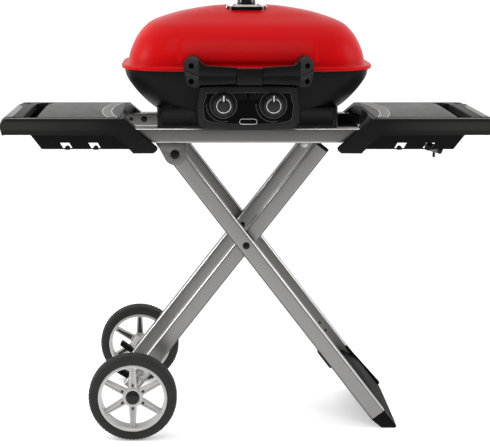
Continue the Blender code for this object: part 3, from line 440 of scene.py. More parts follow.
def merged(*meshes):
    """Several meshes as one, each keeping its own closed surface."""
    result = bpy.data.meshes.new("merged")
    with editing(result) as bm:
        for mesh in meshes:
            bm.from_mesh(mesh)
            bpy.data.meshes.remove(mesh)
    return result


def handed(mesh, sign):
    """The right-hand shape itself, or its mirror image for the left side."""
    mesh = mesh.copy()
    if sign < 0:
        mesh.transform(Matrix.Diagonal((-1, 1, 1, 1)))
        mesh.flip_normals()
    return mesh


def span(sign, near, far):
    """The two ends on one side of the middle, the lower first."""
    return sorted((sign * near, sign * far))


def box_mesh(low, high):
    low, high = Vector(low), Vector(high)
    mesh = bpy.data.meshes.new("box")
    size = Matrix.Diagonal((*(high - low), 1.0))
    with editing(mesh) as bm:
        bmesh.ops.create_cube(bm, size=1.0, matrix=Matrix.Translation((low + high) / 2) @ size)
    return mesh


def axis_matrix(place, axis):
    """Local Z along the axis, from the place."""
    return Matrix.Translation(place) @ Z_AXIS.rotation_difference(axis).to_matrix().to_4x4()


def cylinder_mesh(start, end, radius, points=32):
    start, end = Vector(start), Vector(end)
    mesh = bpy.data.meshes.new("cylinder")
    with editing(mesh) as bm:
        bmesh.ops.create_cone(bm, cap_ends=True, segments=points, radius1=radius, radius2=radius,
                              depth=(end - start).length,
                              matrix=axis_matrix((start + end) / 2, end - start))
    return mesh


def arc(centre, radius, start_deg, end_deg, steps):
    angles = [math.radians(start_deg + (end_deg - start_deg) * i / steps) for i in range(steps + 1)]
    return [(centre[0] + radius * math.cos(a), centre[1] + radius * math.sin(a)) for a in angles]


def rounded_rectangle(width, height, radius, steps=6, centre=(0, 0)):
    points = []
    for corner, start in (((1, 1), 0), ((-1, 1), 90), ((-1, -1), 180), ((1, -1), 270)):
        middle_point = (centre[0] + corner[0] * (width / 2 - radius),
                        centre[1] + corner[1] * (height / 2 - radius))
        points += arc(middle_point, radius, start, start + 90, steps)
    return points


def both_halves(points):
    """A closed outline from its right half, listed from the middle line round to it again."""
    return points + [(-x, y) for x, y in reversed(points) if x > 1e-6]


def softened(points, radius, steps=4):
    """The outline with each corner replaced by a small arc-like curve."""
    result = []
    count = len(points)
    for i in range(count):
        before, here, after = (Vector(points[(i + k) % count]) for k in (-1, 0, 1))
        start_length = min(radius, (before - here).length * 0.45)
        end_length = min(radius, (after - here).length * 0.45)
        start = here + (before - here).normalized() * start_length
        end = here + (after - here).normalized() * end_length
        for j in range(steps + 1):
            t = j / steps
            result.append(tuple((1 - t) ** 2 * start + 2 * t * (1 - t) * here + t ** 2 * end))
    return result


def mesh_from_curve(curve, matrix, flat=True):
    holder, result_of = evaluated(curve)
    mesh = result_of()
    bpy.data.objects.remove(holder)
    with editing(mesh) as bm:
        bmesh.ops.remove_doubles(bm, verts=bm.verts, dist=SAME_PLACE)
        if flat:
            bmesh.ops.dissolve_limit(bm, angle_limit=math.radians(0.3), verts=bm.verts,
                                     edges=bm.edges)
        bmesh.ops.transform(bm, matrix=matrix, verts=bm.verts)
        bmesh.ops.recalc_face_normals(bm, faces=bm.faces)
    return mesh


def add_spline(curve, places, cyclic=False):
    spline = curve.splines.new("POLY")
    spline.points.add(len(places) - 1)
    for point, place in zip(spline.points, places):
        point.co = (*place, 1)
    spline.use_cyclic_u = cyclic


def prism(loops, view, low, high):
    """A flat outline with holes, extruded from low to high along the view's local Z."""
    curve = bpy.data.curves.new("outline", "CURVE")
    curve.dimensions = "2D"
    curve.fill_mode = "BOTH"
    curve.extrude = (high - low) / 2
    for loop in loops:
        add_spline(curve, [(x, y, 0) for x, y in loop], True)
    return mesh_from_curve(curve, view @ Matrix.Translation((0, 0, (low + high) / 2)))


def slab(outline, view, low, high, width, segments=3, angle=35):
    """A prism of one outline with rounded edges."""
    return rounded(prism([outline], view, low, high), width, segments, angle)


def tube(points, radius, resolution):
    curve = bpy.data.curves.new("tube", "CURVE")
    curve.dimensions = "3D"
    curve.bevel_depth = radius
    curve.bevel_resolution = resolution
    curve.use_fill_caps = True
    add_spline(curve, points)
    return mesh_from_curve(curve, Matrix.Identity(4), False)


def smooth_route(points, steps):
    """Points of a smooth curve through the given ones (Catmull-Rom)."""
    knots = [Vector(p) for p in points]
    knots = [2 * knots[0] - knots[1]] + knots + [2 * knots[-1] - knots[-2]]
    route = []
    for i in range(1, len(knots) - 2):
        a, b, c, d = knots[i - 1:i + 3]
        for j in range(steps):
            t = j / steps
            route.append(0.5 * (2 * b + (c - a) * t + (2 * a - 5 * b + 4 * c - d) * t ** 2
                                + (3 * b - a - 3 * c + d) * t ** 3))
    return route + [knots[-2]]


def lathe(profile, place, axis, steps=48):
    """A turned piece: profile points are (radius, distance along the axis), open or closed.

    It is closed to a ring if it starts away from the axis.
    """
    matrix = axis_matrix(place, Vector(axis))
    rows, points = [], []
    for radius, height in profile:
        count = steps if radius > 0 else 1
        rows.append(range(len(points), len(points) + count))
        angles = [math.tau * i / steps for i in range(count)]
        points += [matrix @ Vector((radius * math.cos(a), radius * math.sin(a), height))
                   for a in angles]
    if profile[0][0] > 0:
        rows.append(rows[0])
    faces = []
    for first, second in zip(rows, rows[1:]):
        for i in range(steps):
            j = (i + 1) % steps
            corners = [first[i % len(first)], first[j % len(first)],
                       second[j % len(second)], second[i % len(second)]]
            unique = list(dict.fromkeys(corners))
            if len(unique) > 2:
                faces.append(unique)
    return facing_out(mesh_of(points, faces))


def loft(levels, close_low=False, close_high=False):
    """Skin over a stack of equal-length rings of points."""
    count = len(levels[0])
    points = [p for level in levels for p in level]
    faces = []
    for k in range(len(levels) - 1):
        for i in range(count):
            j = (i + 1) % count
            faces.append((k * count + i, k * count + j, (k + 1) * count + j, (k + 1) * count + i))
    if close_low:
        faces.append(tuple(reversed(range(count))))
    if close_high:
        faces.append(tuple(range((len(levels) - 1) * count, len(levels) * count)))
    return mesh_of(points, faces)


def place_piece(name, mesh, material, body, nodes=(), angle=32):
    """Puts a cart-coordinate mesh into the frame: material, smooth shading and body; hides the CAD
    nodes it stands for.
    """
    mesh.name = name
    mesh.transform(Matrix.Translation((0, MID_Y, 0)))
    if material:
        mesh.materials.clear()
        mesh.materials.append(MATERIALS[material])
    mesh.shade_smooth()
    mesh.set_sharp_from_angle(angle=math.radians(angle))
    obj = linked(bpy.data.objects.new(name, mesh))
    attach(obj, body)
    if nodes:
        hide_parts(*nodes)


def refined(node, width, material, body):
    """The CAD node's own shape with its edges rounded."""
    mesh = frame["nodes"][node].data.copy()
    mesh.transform(Matrix.Translation(TO_CART))
    place_piece(node + "_finished", rounded(mesh, width, 2), material, body, (node,))


def refinished(material, *nodes):
    """CAD nodes that stay as they are get a better material."""
    for node in nodes:
        frame["nodes"][node].data.materials[0] = MATERIALS[material]


def smoothstep(low, high, value):
    t = min(1.0, max(0.0, (value - low) / (high - low)))
    return t * t * (3 - 2 * t)


# ---- camera, light and floor -------------------------------------------------------
def build_stage():
    camera_data = bpy.data.cameras.new("camera")
    camera_data.lens = 95.7
    camera_data.sensor_width = 36
    camera_data.shift_x = 0.109
    camera_data.clip_end = 60
    camera = linked(bpy.data.objects.new("camera", camera_data))
    camera.location = (-0.1256, -3.0605, 1.0956)
    camera.rotation_euler = (math.radians(78.36), 0, 0)
    bpy.context.scene.camera = camera

    world = bpy.data.worlds.new("studio")
    world.use_nodes = True
    tree = world.node_tree
    background = tree.nodes["Background"].inputs
    background["Color"].default_value = (1, 1, 1, 1)
    direction = add_node(tree, "TexCoord", "Generated", {})
    total = tree.nodes.new("ShaderNodeMath")
    total.operation = "ADD"
    for slot, (axis, *shape) in enumerate((("Y", -0.45, 0.35, 0.12, 1.06),
                                           ("Z", 0.25, 0.85, 0.0, 0.25))):
        share = map_range(tree, add_node(tree, "SeparateXYZ", axis, {"Vector": direction}), *shape,
                          interpolation_type="SMOOTHSTEP")
        tree.links.new(share, total.inputs[slot])
    tree.links.new(total.outputs["Value"], background["Strength"])
    bpy.context.scene.world = world

    floor = linked(bpy.data.objects.new("floor", box_mesh((-9, -9, -0.02), (9, 12, -0.0002))))
    floor.data.materials.append(MATERIALS["floor"])

    for name, place, aim_z, size, power in (
            ("top_light", (0, 0.3, 2.9), 0.6, (2.6, 2.2), 7),
            ("front_light", (-0.3, -2.3, 3.4), 0.8, (2.6, 1.2), 36),
            ("left_light", (-2.7, -0.5, 1.9), 0.85, (1.0, 1.2), 34),
            ("right_light", (2.7, -0.5, 1.9), 0.85, (1.0, 1.2), 22)):
        light_data = bpy.data.lights.new(name, "AREA")
        light_data.shape = "RECTANGLE"
        light_data.size, light_data.size_y = size
        light_data.energy = power
        light = linked(bpy.data.objects.new(name, light_data))
        light.location = place
        towards = Vector((0, 0, aim_z)) - Vector(place)
        light.rotation_euler = towards.to_track_quat("-Z", "Y").to_euler()
    bpy.context.scene.view_settings.view_transform = "Standard"


# ---- lid and bowl -------------------------------------------------------------------
RING_POWER = 4.1
# Half width, half depth and height of the outside, from the rim up.
LID_RINGS = [(0.2835, 0.1905, 0.8436), (0.2862, 0.1932, 0.8442), (0.2870, 0.1940, 0.8468),
             (0.2868, 0.1938, 0.8505), (0.2850, 0.1920, 0.8528), (0.2780, 0.1850, 0.8536),
             (0.2733, 0.1806, 0.8526), (0.2716, 0.1790, 0.8560), (0.2690, 0.1768, 0.8720),
             (0.2630, 0.1715, 0.8900),
             (0.2510, 0.1600, 0.9140), (0.2345, 0.1440, 0.9340), (0.2180, 0.1290, 0.9460),
             (0.1900, 0.1070, 0.9570), (0.1460, 0.0800, 0.9695), (0.0850, 0.0460, 0.9800),
             (0.0300, 0.0170, 0.9845), (0.0040, 0.0023, 0.9852)]
BOWL_RINGS = [(0.1860, 0.1380, 0.7440), (0.2000, 0.1490, 0.7462), (0.2095, 0.1560, 0.7520),
              (0.2310, 0.1650, 0.7690), (0.2550, 0.1740, 0.7940), (0.2735, 0.1820, 0.8200),
              (0.2785, 0.1850, 0.8340), (0.2800, 0.1860, 0.8425)]
LID_WALL = 0.002
BOWL_WALL = 0.0025
CREASE_X = 0.152


def ring_turns():
    """Angles round a ring: closest together where the creases run and round the corners."""
    power = RING_POWER / 2
    sides = [math.asin((0.09 * i) ** power) for i in range(8)]
    corners = [math.radians(24.5 + 2.4 * i) for i in range(12)]
    fractions = [0.06 * i for i in range(9)] + [0.50 + 0.0125 * i for i in range(16)] + [0.72, 0.76]
    fronts = [math.acos(f ** power) for f in reversed(fractions)]
    quarter = sides + corners + fronts
    return (quarter[:-1] + [math.pi - t for t in reversed(quarter)][:-1]
            + [math.pi + t for t in quarter][:-1] + [math.tau - t for t in reversed(quarter)][:-1])


TURNS = ring_turns()


def ring(half_x, half_y, height, grow=0.0):
    points = []
    for turn in TURNS:
        cos, sin = math.cos(turn), math.sin(turn)
        x = math.copysign(abs(cos) ** (2 / RING_POWER), cos) * (half_x + grow)
        y = math.copysign(abs(sin) ** (2 / RING_POWER), sin) * (half_y + grow)
        points.append(Vector((x, y, height)))
    return points


def shell_levels(rings, steps, grow=0.0):
    return [ring(*level, grow) for level in smooth_route(rings, steps)]


def creased(point):
    """The lid's middle front section stands proud of its two sides."""
    if point.y < 0:
        inside = 1 - smoothstep(CREASE_X - 0.005, CREASE_X + 0.005, abs(point.x))
        height = smoothstep(0.8575, 0.8660, point.z) * (1 - smoothstep(0.900, 0.936, point.z))
        point.y -= 0.0026 * inside * height
    return point


def envelope(rings, grow=0.0004):
    levels = shell_levels(rings, 3, grow)
    for point in levels[0]:
        point.z -= grow
    return loft(levels, True, True)


def two_sided(mesh, outside, inside, thickness):
    mesh.materials.append(MATERIALS[outside])
    mesh.materials.append(MATERIALS[inside])
    return with_modifier(mesh, "SOLIDIFY", thickness=thickness, offset=-1, use_even_offset=True,
                         material_offset=1, material_offset_rim=0)


def build_lid():
    levels = [[creased(point) for point in level] for level in shell_levels(LID_RINGS, 5)]
    lid = two_sided(loft(levels, False, True), "lid", "lid_inside", LID_WALL)
    place_piece("lid_shell_enamelled", lid, None, "lid", ("lid_shell",), 30)


def build_bowl():
    levels = shell_levels(BOWL_RINGS, 4)
    wall = with_modifier(loft(levels, True, False), "SOLIDIFY", thickness=BOWL_WALL, offset=-1,
                         use_even_offset=True)
    wall = cut(wall, cylinder_mesh((0, 0, 0.70), (0, 0, 0.78), 0.022, 32))
    for _, sign in HANDS:
        x = sign * KNOB_X
        wall = cut(wall, cylinder_mesh((x, -0.22, KNOB_Z), (x, -0.12, KNOB_Z), 0.0083, 24))
    extras = []
    for _, sign in HANDS:
        for y in (-0.08, 0.08):
            low, high = span(sign, 0.256, 0.2695)
            extras.append(rounded(box_mesh((low, y - 0.010, 0.8235), (high, y + 0.010, 0.8315)),
                                  0.0015))
        low, high = span(sign, 0.164, 0.1812)
        extras.append(rounded(box_mesh((-0.012, low, 0.8235), (0.012, high, 0.8315)), 0.0015))
        runner = [(0.1400, 0.7455), (0.1400, 0.7335), (0.1305, 0.7335), (0.1305, 0.7350),
                  (0.1385, 0.7350), (0.1385, 0.7455)]
        extras.append(slab([(sign * px, pz) for px, pz in runner], FRONT_VIEW, -0.1290, 0.1190,
                           0.0003, 1))
        lug = [(0.1796, 0.826), (0.198, 0.8375)] + arc((HINGE.y, HINGE.z), KNUCKLE, -60, 180, 14)
        lug += [(0.1965, 0.8418), (0.1796, 0.8418)]
        low, high = span(sign, 0.105, 0.113)
        lug_mesh = prism([lug, arc((HINGE.y, HINGE.z), PIN_HOLE, 0, 345, 23)], SIDE_VIEW, low, high)
        extras.append(rounded(lug_mesh, 0.0008, 2))
    place_piece("bowl_enamelled", merged(wall, *extras), "bowl", "cart_top", ("base_bowl",))


# ---- grill base ---------------------------------------------------------------------
KNOB_X = 0.055
KNOB_Z = joint_place("left_knob_turn").z
SKIRT_HALF = 0.2035
SKIRT_Y = 0.154
PANEL_FRONT = -0.200


def build_skirt():
    wall = 0.003
    outer = rounded_rectangle(2 * SKIRT_HALF, 2 * SKIRT_Y, 0.010)
    inner = rounded_rectangle(2 * (SKIRT_HALF - wall), 2 * (SKIRT_Y - wall), 0.007)
    skirt = prism([outer, inner], PLAN_VIEW, 0.7158, 0.7600)
    for sign in (-1, 1):
        recess = [(sign * x, z) for x, z in softened(
            [(0.119, 0.7215), (0.1925, 0.7225), (0.1925, 0.7440), (0.119, 0.7500)], 0.004)]
        skirt = cut(skirt, prism([recess], FRONT_VIEW, SKIRT_Y - 0.0012, SKIRT_Y + 0.01))
    skirt = cut(rounded(skirt, 0.0008, 2), box_mesh((-0.1450, 0.10, 0.70), (0.1450, 0.20, 0.7450)),
                cylinder_mesh((0.0985, -0.17, 0.7300), (0.0985, -0.14, 0.7300), 0.0060, 24),
                envelope(BOWL_RINGS))
    place_piece("skirt_enamelled", skirt, "skirt", "cart_top", ("base_skirt",))


def panel_outline(inset):
    """Bulging sides, arched bottom and rounded corners; inset from the outer edge."""
    half, top = 0.1120 - inset, 0.8108 - inset
    low = 0.7158 + inset
    right = [(0, low), (0.030, low + 0.0004), (0.060, low + 0.0018), (half - 0.020, low + 0.0046)]
    right += [(half - 0.0075, low + 0.0085), (half - 0.0022, low + 0.0160)]
    right += [(half, low + 0.042), (half - 0.0024, top - 0.020)]
    right += [(half - 0.0060, top - 0.006), (half - 0.0120, top - 0.0005), (0, top)]
    route = smooth_route([(x, z, 0) for x, z in right], 4)
    return both_halves([(p.x, p.y) for p in route])


def build_control_panel():
    wall = 0.003
    body = prism([panel_outline(0)], FRONT_VIEW, SKIRT_Y + 0.0005, -PANEL_FRONT)
    body = rounded(body, 0.0035, 4)
    body = cut(body, prism([panel_outline(0.0115)], FRONT_VIEW, -PANEL_FRONT - 0.0022,
                           -PANEL_FRONT + 0.01),
               prism([panel_outline(wall)], FRONT_VIEW, SKIRT_Y - 0.02, -PANEL_FRONT - 0.0052))
    for _, sign in HANDS:
        x = sign * KNOB_X
        body = cut(body, cylinder_mesh((x, -0.2150, KNOB_Z), (x, PANEL_FRONT + 0.0036, KNOB_Z),
                                       0.0290, 64),
                         cylinder_mesh((x, -0.22, KNOB_Z), (x, -0.18, KNOB_Z), 0.0053, 24))
    body = cut(body, envelope(BOWL_RINGS))
    place_piece("panel_bezel", body, "bezel", "cart_top", ("control_panel",))

    details = []
    lines = []
    floor_y = -PANEL_FRONT - 0.0022
    inlay = prism([panel_outline(0.0118)], FRONT_VIEW, floor_y - 0.0006, floor_y + 0.0002)
    for _, sign in HANDS:
        x = sign * KNOB_X
        inlay = cut(inlay, cylinder_mesh((x, -0.21, KNOB_Z), (x, -0.18, KNOB_Z), 0.0290, 64))
    place_piece("panel_inlay", inlay, "panel", "cart_top")
    for _, sign in HANDS:
        centre = (sign * KNOB_X, KNOB_Z)
        # A painted highlight round the rim of the knob recess.
        ring_loops = [arc(centre, 0.0305, 0, 355, 71), arc(centre, 0.0291, 0, 355, 71)]
        lines.append(prism(ring_loops, FRONT_VIEW, floor_y - 0.0003, floor_y + 0.0007))
        relief = arc(centre, 0.0395, 178, 285, 30) + arc(centre, 0.0368, 285, 178, 30)
        details.append(prism([relief], FRONT_VIEW, floor_y - 0.0003, floor_y + 0.0006))
        for degrees in (180, 199, 218, 237, 256, 275):
            angle = math.radians(degrees)
            turn = Matrix.Rotation(angle, 3, "Z")
            tick = [turn @ Vector((r, w, 0)) for r, w in ((0.0345, -0.0006), (0.0362, -0.0006),
                                                         (0.0362, 0.0006), (0.0345, 0.0006))]
            details.append(prism([[(centre[0] + p.x, centre[1] + p.y) for p in tick]], FRONT_VIEW,
                                 floor_y - 0.0003, floor_y + 0.0005))
    # A painted highlight along the edge of the panel's inner floor.
    inner = panel_outline(0.0120)
    inner_edge = panel_outline(0.0130)
    lines.append(prism([inner, inner_edge], FRONT_VIEW, floor_y - 0.0002, floor_y + 0.0007))
    for i in range(-4, 5):
        if i:
            lean = i * 0.0042
            foot, head = (lean * 1.1, 0.7835), (lean * 2.0, 0.7990)
            details.append(tube([Vector((foot[0], -floor_y, foot[1])),
                                 Vector((head[0], -floor_y, head[1]))], 0.0006, 3))
    place_piece("panel_relief", merged(*details), "panel_raised", "cart_top")
    place_piece("panel_edge_highlights", merged(*lines), "panel_edge_highlight", "cart_top")

    badge = rounded_rectangle(0.040, 0.0130, 0.0064, 10, (0, 0.7345))
    badge_inner = rounded_rectangle(0.0372, 0.0102, 0.0050, 10, (0, 0.7345))
    plate = slab(badge_inner, FRONT_VIEW, floor_y - 0.0004, floor_y + 0.0009, 0.0002, 1)
    frame_ring = rounded(prism([badge, badge_inner], FRONT_VIEW, floor_y - 0.0004,
                               floor_y + 0.0014), 0.0003, 2)
    place_piece("blank_badge_plate", plate, "panel", "cart_top")
    place_piece("blank_badge_frame", frame_ring, "silver", "cart_top")


def build_knobs():
    for hand, sign in HANDS:
        x = sign * KNOB_X
        place = Vector((x, -0.2045, KNOB_Z))
        body = hand + "_knob"
        profile = [(0, 0.0128), (0.0166, 0.0128), (0.0172, 0.0150), (0.0180, 0.0158),
                   (0.0196, 0.0160), (0.0212, 0.0152), (0.0226, 0.0128), (0.0240, 0.0075),
                   (0.0249, 0.0022), (0.0250, 0.0004), (0.0246, 0), (0, 0)]
        knob = lathe(profile, place, -Y_AXIS, 96)
        place_piece("knob_body_" + hand, knob, "knob", body, ("knob_" + hand,))
        front = 0.2045 + 0.0128
        ring_arc = (arc((x, KNOB_Z), 0.0168, 108, 432, 60) + arc((x, KNOB_Z), 0.0142, 432, 108, 60))
        ring_mesh = slab(ring_arc, FRONT_VIEW, front - 0.0005, front + 0.0016, 0.0006, 2, 50)
        place_piece("knob_ring_" + hand, ring_mesh, "silver", body)
        pointer = rounded_rectangle(0.0032, 0.0135, 0.0015, 5, (x, KNOB_Z + 0.0160))
        pointer_mesh = slab(pointer, FRONT_VIEW, front - 0.0005, front + 0.0037, 0.0005, 2, 50)
        place_piece("knob_pointer_" + hand, pointer_mesh, "pointer", body)
        disc = slab(arc((x, KNOB_Z), 0.0136, 0, 354, 59), FRONT_VIEW, front - 0.0003,
                    front + 0.0008, 0.0004, 2, 50)
        place_piece("knob_disc_" + hand, disc, "knob_disc", body)


# ---- handles ------------------------------------------------------------------------
HANDLE_FRONT = -0.257
HANDLE_HALF = 0.142


def handle_plan(front_at_middle, ledge):
    """From above: two ears with a bar across in front of them; ledge is the middle's own front."""
    gap_front = HANDLE_FRONT + 0.022
    back = -0.1700
    return both_halves([(0, ledge), (0.0285, ledge), (0.0285, front_at_middle),
                        (0.034, front_at_middle), (0.1100, HANDLE_FRONT + 0.0065),
                        (HANDLE_HALF, -0.2130), (HANDLE_HALF, back), (0.103, back),
                        (0.096, gap_front + 0.004), (0.090, gap_front), (0, gap_front)])


def build_handles():
    gap = 0.00025
    beyond = HANDLE_HALF + 0.002
    seam = [(0, 0.8392), (0.1060, 0.8392), (0.1150, 0.8402), (0.1230, 0.8424), (0.1310, 0.8452),
            (0.1380, 0.8466), (beyond, 0.8468)]
    upper = both_halves([(0, 0.8556), (0.0285, 0.8556), (0.0285, 0.8578), (0.095, 0.8618),
                         (0.1025, 0.8655), (0.1110, 0.8752), (0.1195, 0.8808), (0.1335, 0.8765),
                         (0.1400, 0.8690), (beyond, 0.8600)]
                        + [(x, z + gap) for x, z in reversed(seam)])
    lower = both_halves([(x, z - gap) for x, z in seam]
                        + [(0.1405, 0.8385), (0.1385, 0.8260), (0.1350, 0.8180), (0.1240, 0.8122),
                           (0.1140, 0.8150), (0.1060, 0.8200), (0.0285, 0.8232), (0.0285, 0.8205),
                           (0, 0.8205)])
    bar_front = HANDLE_FRONT + 0.0022
    for name, profile, body, bolt_z in (("upper_handle", upper, "lid", 0.860),
                                        ("lower_handle", lower, "cart_top", 0.826)):
        handle = prism([handle_plan(bar_front, HANDLE_FRONT + 0.0052)], PLAN_VIEW, 0.80, 0.89)
        handle = boolean(handle, prism([profile], FRONT_VIEW, 0.15, 0.27), "INTERSECT")
        handle = cut(rounded(handle, 0.0020, 3, 14), envelope(LID_RINGS), envelope(BOWL_RINGS))
        pieces = []
        for sign in (-1, 1):
            x = sign * 0.1265
            recess = cylinder_mesh((x, -0.27, bolt_z), (x, -0.2155, bolt_z), 0.0066, 6)
            handle = cut(handle, recess)
            head = lathe([(0, 0.0042), (0.0022, 0.0040), (0.0040, 0.0020), (0.0044, 0.0), (0, 0)],
                         Vector((x, -0.2155, bolt_z)), -Y_AXIS, 24)
            pieces.append(head)
        if name == "upper_handle":
            cover = rounded(box_mesh((-0.0278, HANDLE_FRONT, 0.8206), (0.0278, -0.2528, 0.8562)),
                            0.0012, 2)
            handle = merged(handle, cover)
        place_piece(name + "_moulded", handle, "handle", body, (name,))
        place_piece(name + "_bolts", merged(*pieces), "handle_dark", body)


# ---- thermometer ----------------------------------------------------------------------
def build_thermometer():
    place_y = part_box("thermometer_dial")[0].y + 0.0260 - MID_Y
    top = 0.9848
    base = rounded_rectangle(0.0770, 0.0520, 0.010, 8, (0, place_y))
    base_mesh = slab(base, PLAN_VIEW, 0.9560, top - 0.0040, 0.0010, 2)
    place_piece("thermometer_base", cut(base_mesh, envelope(LID_RINGS)), "gasket", "lid")
    plan = rounded_rectangle(0.0930, 0.0590, 0.0275, 14, (0, place_y))
    plate = cut(slab(plan, PLAN_VIEW, top - 0.0046, top, 0.0014, 4), envelope(LID_RINGS))
    ends = [rounded_rectangle(0.0040, 0.0300, 0.0018, 4, (side * 0.0445, place_y))
            for side in (-1, 1)]
    walls = [cut(slab(end, PLAN_VIEW, 0.9600, top - 0.0030, 0.0008, 2), envelope(LID_RINGS))
             for end in ends]
    posts = [cut(rounded(cylinder_mesh((side * 0.0368, place_y - 0.0262, 0.9620),
                                       (side * 0.0368, place_y - 0.0262, top - 0.0042), 0.0022, 20),
                         0.0004, 1), envelope(LID_RINGS)) for side in (-1, 1)]
    place_piece("thermometer_plate", merged(plate, *walls, *posts), "chrome", "lid",
                ("thermometer_housing",))
    place = Vector((0, place_y + 0.0045, 0))
    profile = [(0, top - 0.0004), (0.0212, top - 0.0004), (0.0214, top + 0.0040),
               (0.0206, top + 0.0090), (0.0196, top + 0.0148), (0.0184, top + 0.0168),
               (0.0168, top + 0.0172), (0.0163, top + 0.0158), (0, top + 0.0158)]
    collar = lathe(profile, place, Z_AXIS, 96)
    screws = []
    for side in (-1, 1):
        screws.append(lathe([(0, 0.0016), (0.0014, 0.0016), (0.0026, 0.0006), (0.0028, 0), (0, 0)],
                            Vector((side * 0.0262, place_y - 0.004, top - 0.0001)), Z_AXIS, 24))
    place_piece("thermometer_dial_case", merged(collar, *screws), "dial", "lid",
                ("thermometer_dial",))
    face = lathe([(0, top + 0.0162), (0.0152, top + 0.0162), (0.0156, top + 0.0157),
                  (0, top + 0.0157)], place, Z_AXIS, 96)
    place_piece("thermometer_face", face, "dial_face", "lid")


def build_hinges():
    leaf = arc((HINGE.y, HINGE.z), KNUCKLE, 180, 360, 16) + [
        (HINGE.y + KNUCKLE, 0.8640), (0.186, 0.8900), (0.165, 0.8900), (0.165, 0.8700),
        (0.1985, 0.8580)]
    for hand, sign in HANDS:
        low, high = span(sign, 0.1136, 0.1216)
        plate = prism([leaf, arc((HINGE.y, HINGE.z), PIN_HOLE, 0, 345, 23)], SIDE_VIEW, low, high)
        plate = cut(rounded(plate, 0.0010, 2), envelope(LID_RINGS))
        place_piece("lid_hinge_leaf_" + hand, plate, "hinge", "lid",
                    ("lid_hinge_" + hand,))
    pin = lathe([(0, -0.1260), (0.0026, -0.1260), (0.0030, -0.1254), (0.0030, 0.1254),
                 (0.0026, 0.1260), (0, 0.1260)], Vector((0, HINGE.y, HINGE.z)), X_AXIS, 24)
    place_piece("hinge_pin_turned", pin, "steel", "cart_top", ("hinge_pin",))


# ---- side shelves ---------------------------------------------------------------------
SHELF_FRONT = -0.175
SHELF_REAR = 0.166
SHELF_END = 0.5568
HOOK_WINDOWS = ((0.3296, 0.3508), (0.3930, 0.4142))


def shelf_side():
    """Front view of the right shelf, from the lower inner corner round to the top."""
    end = SHELF_END
    points = [(0.201, 0.6725), (0.2035, 0.6650), (0.2110, 0.6590), (0.2570, 0.6586), (0.266, 0.669),
              (0.462, 0.669), (0.486, 0.7005), (0.5450, 0.7005), (0.5485, 0.6992),
              (0.5520, 0.6998), (end - 0.0035, 0.7080)]
    points += arc((end - 0.0195, 0.7181), 0.0194, -6, 90, 14)
    points += [(0.278, 0.7375)]
    return points


def hook_window(x_low, x_high):
    return [(x_low, 0.6715), (x_high, 0.6715), (x_high + 0.0068, 0.6835), (x_low + 0.0068, 0.6835)]


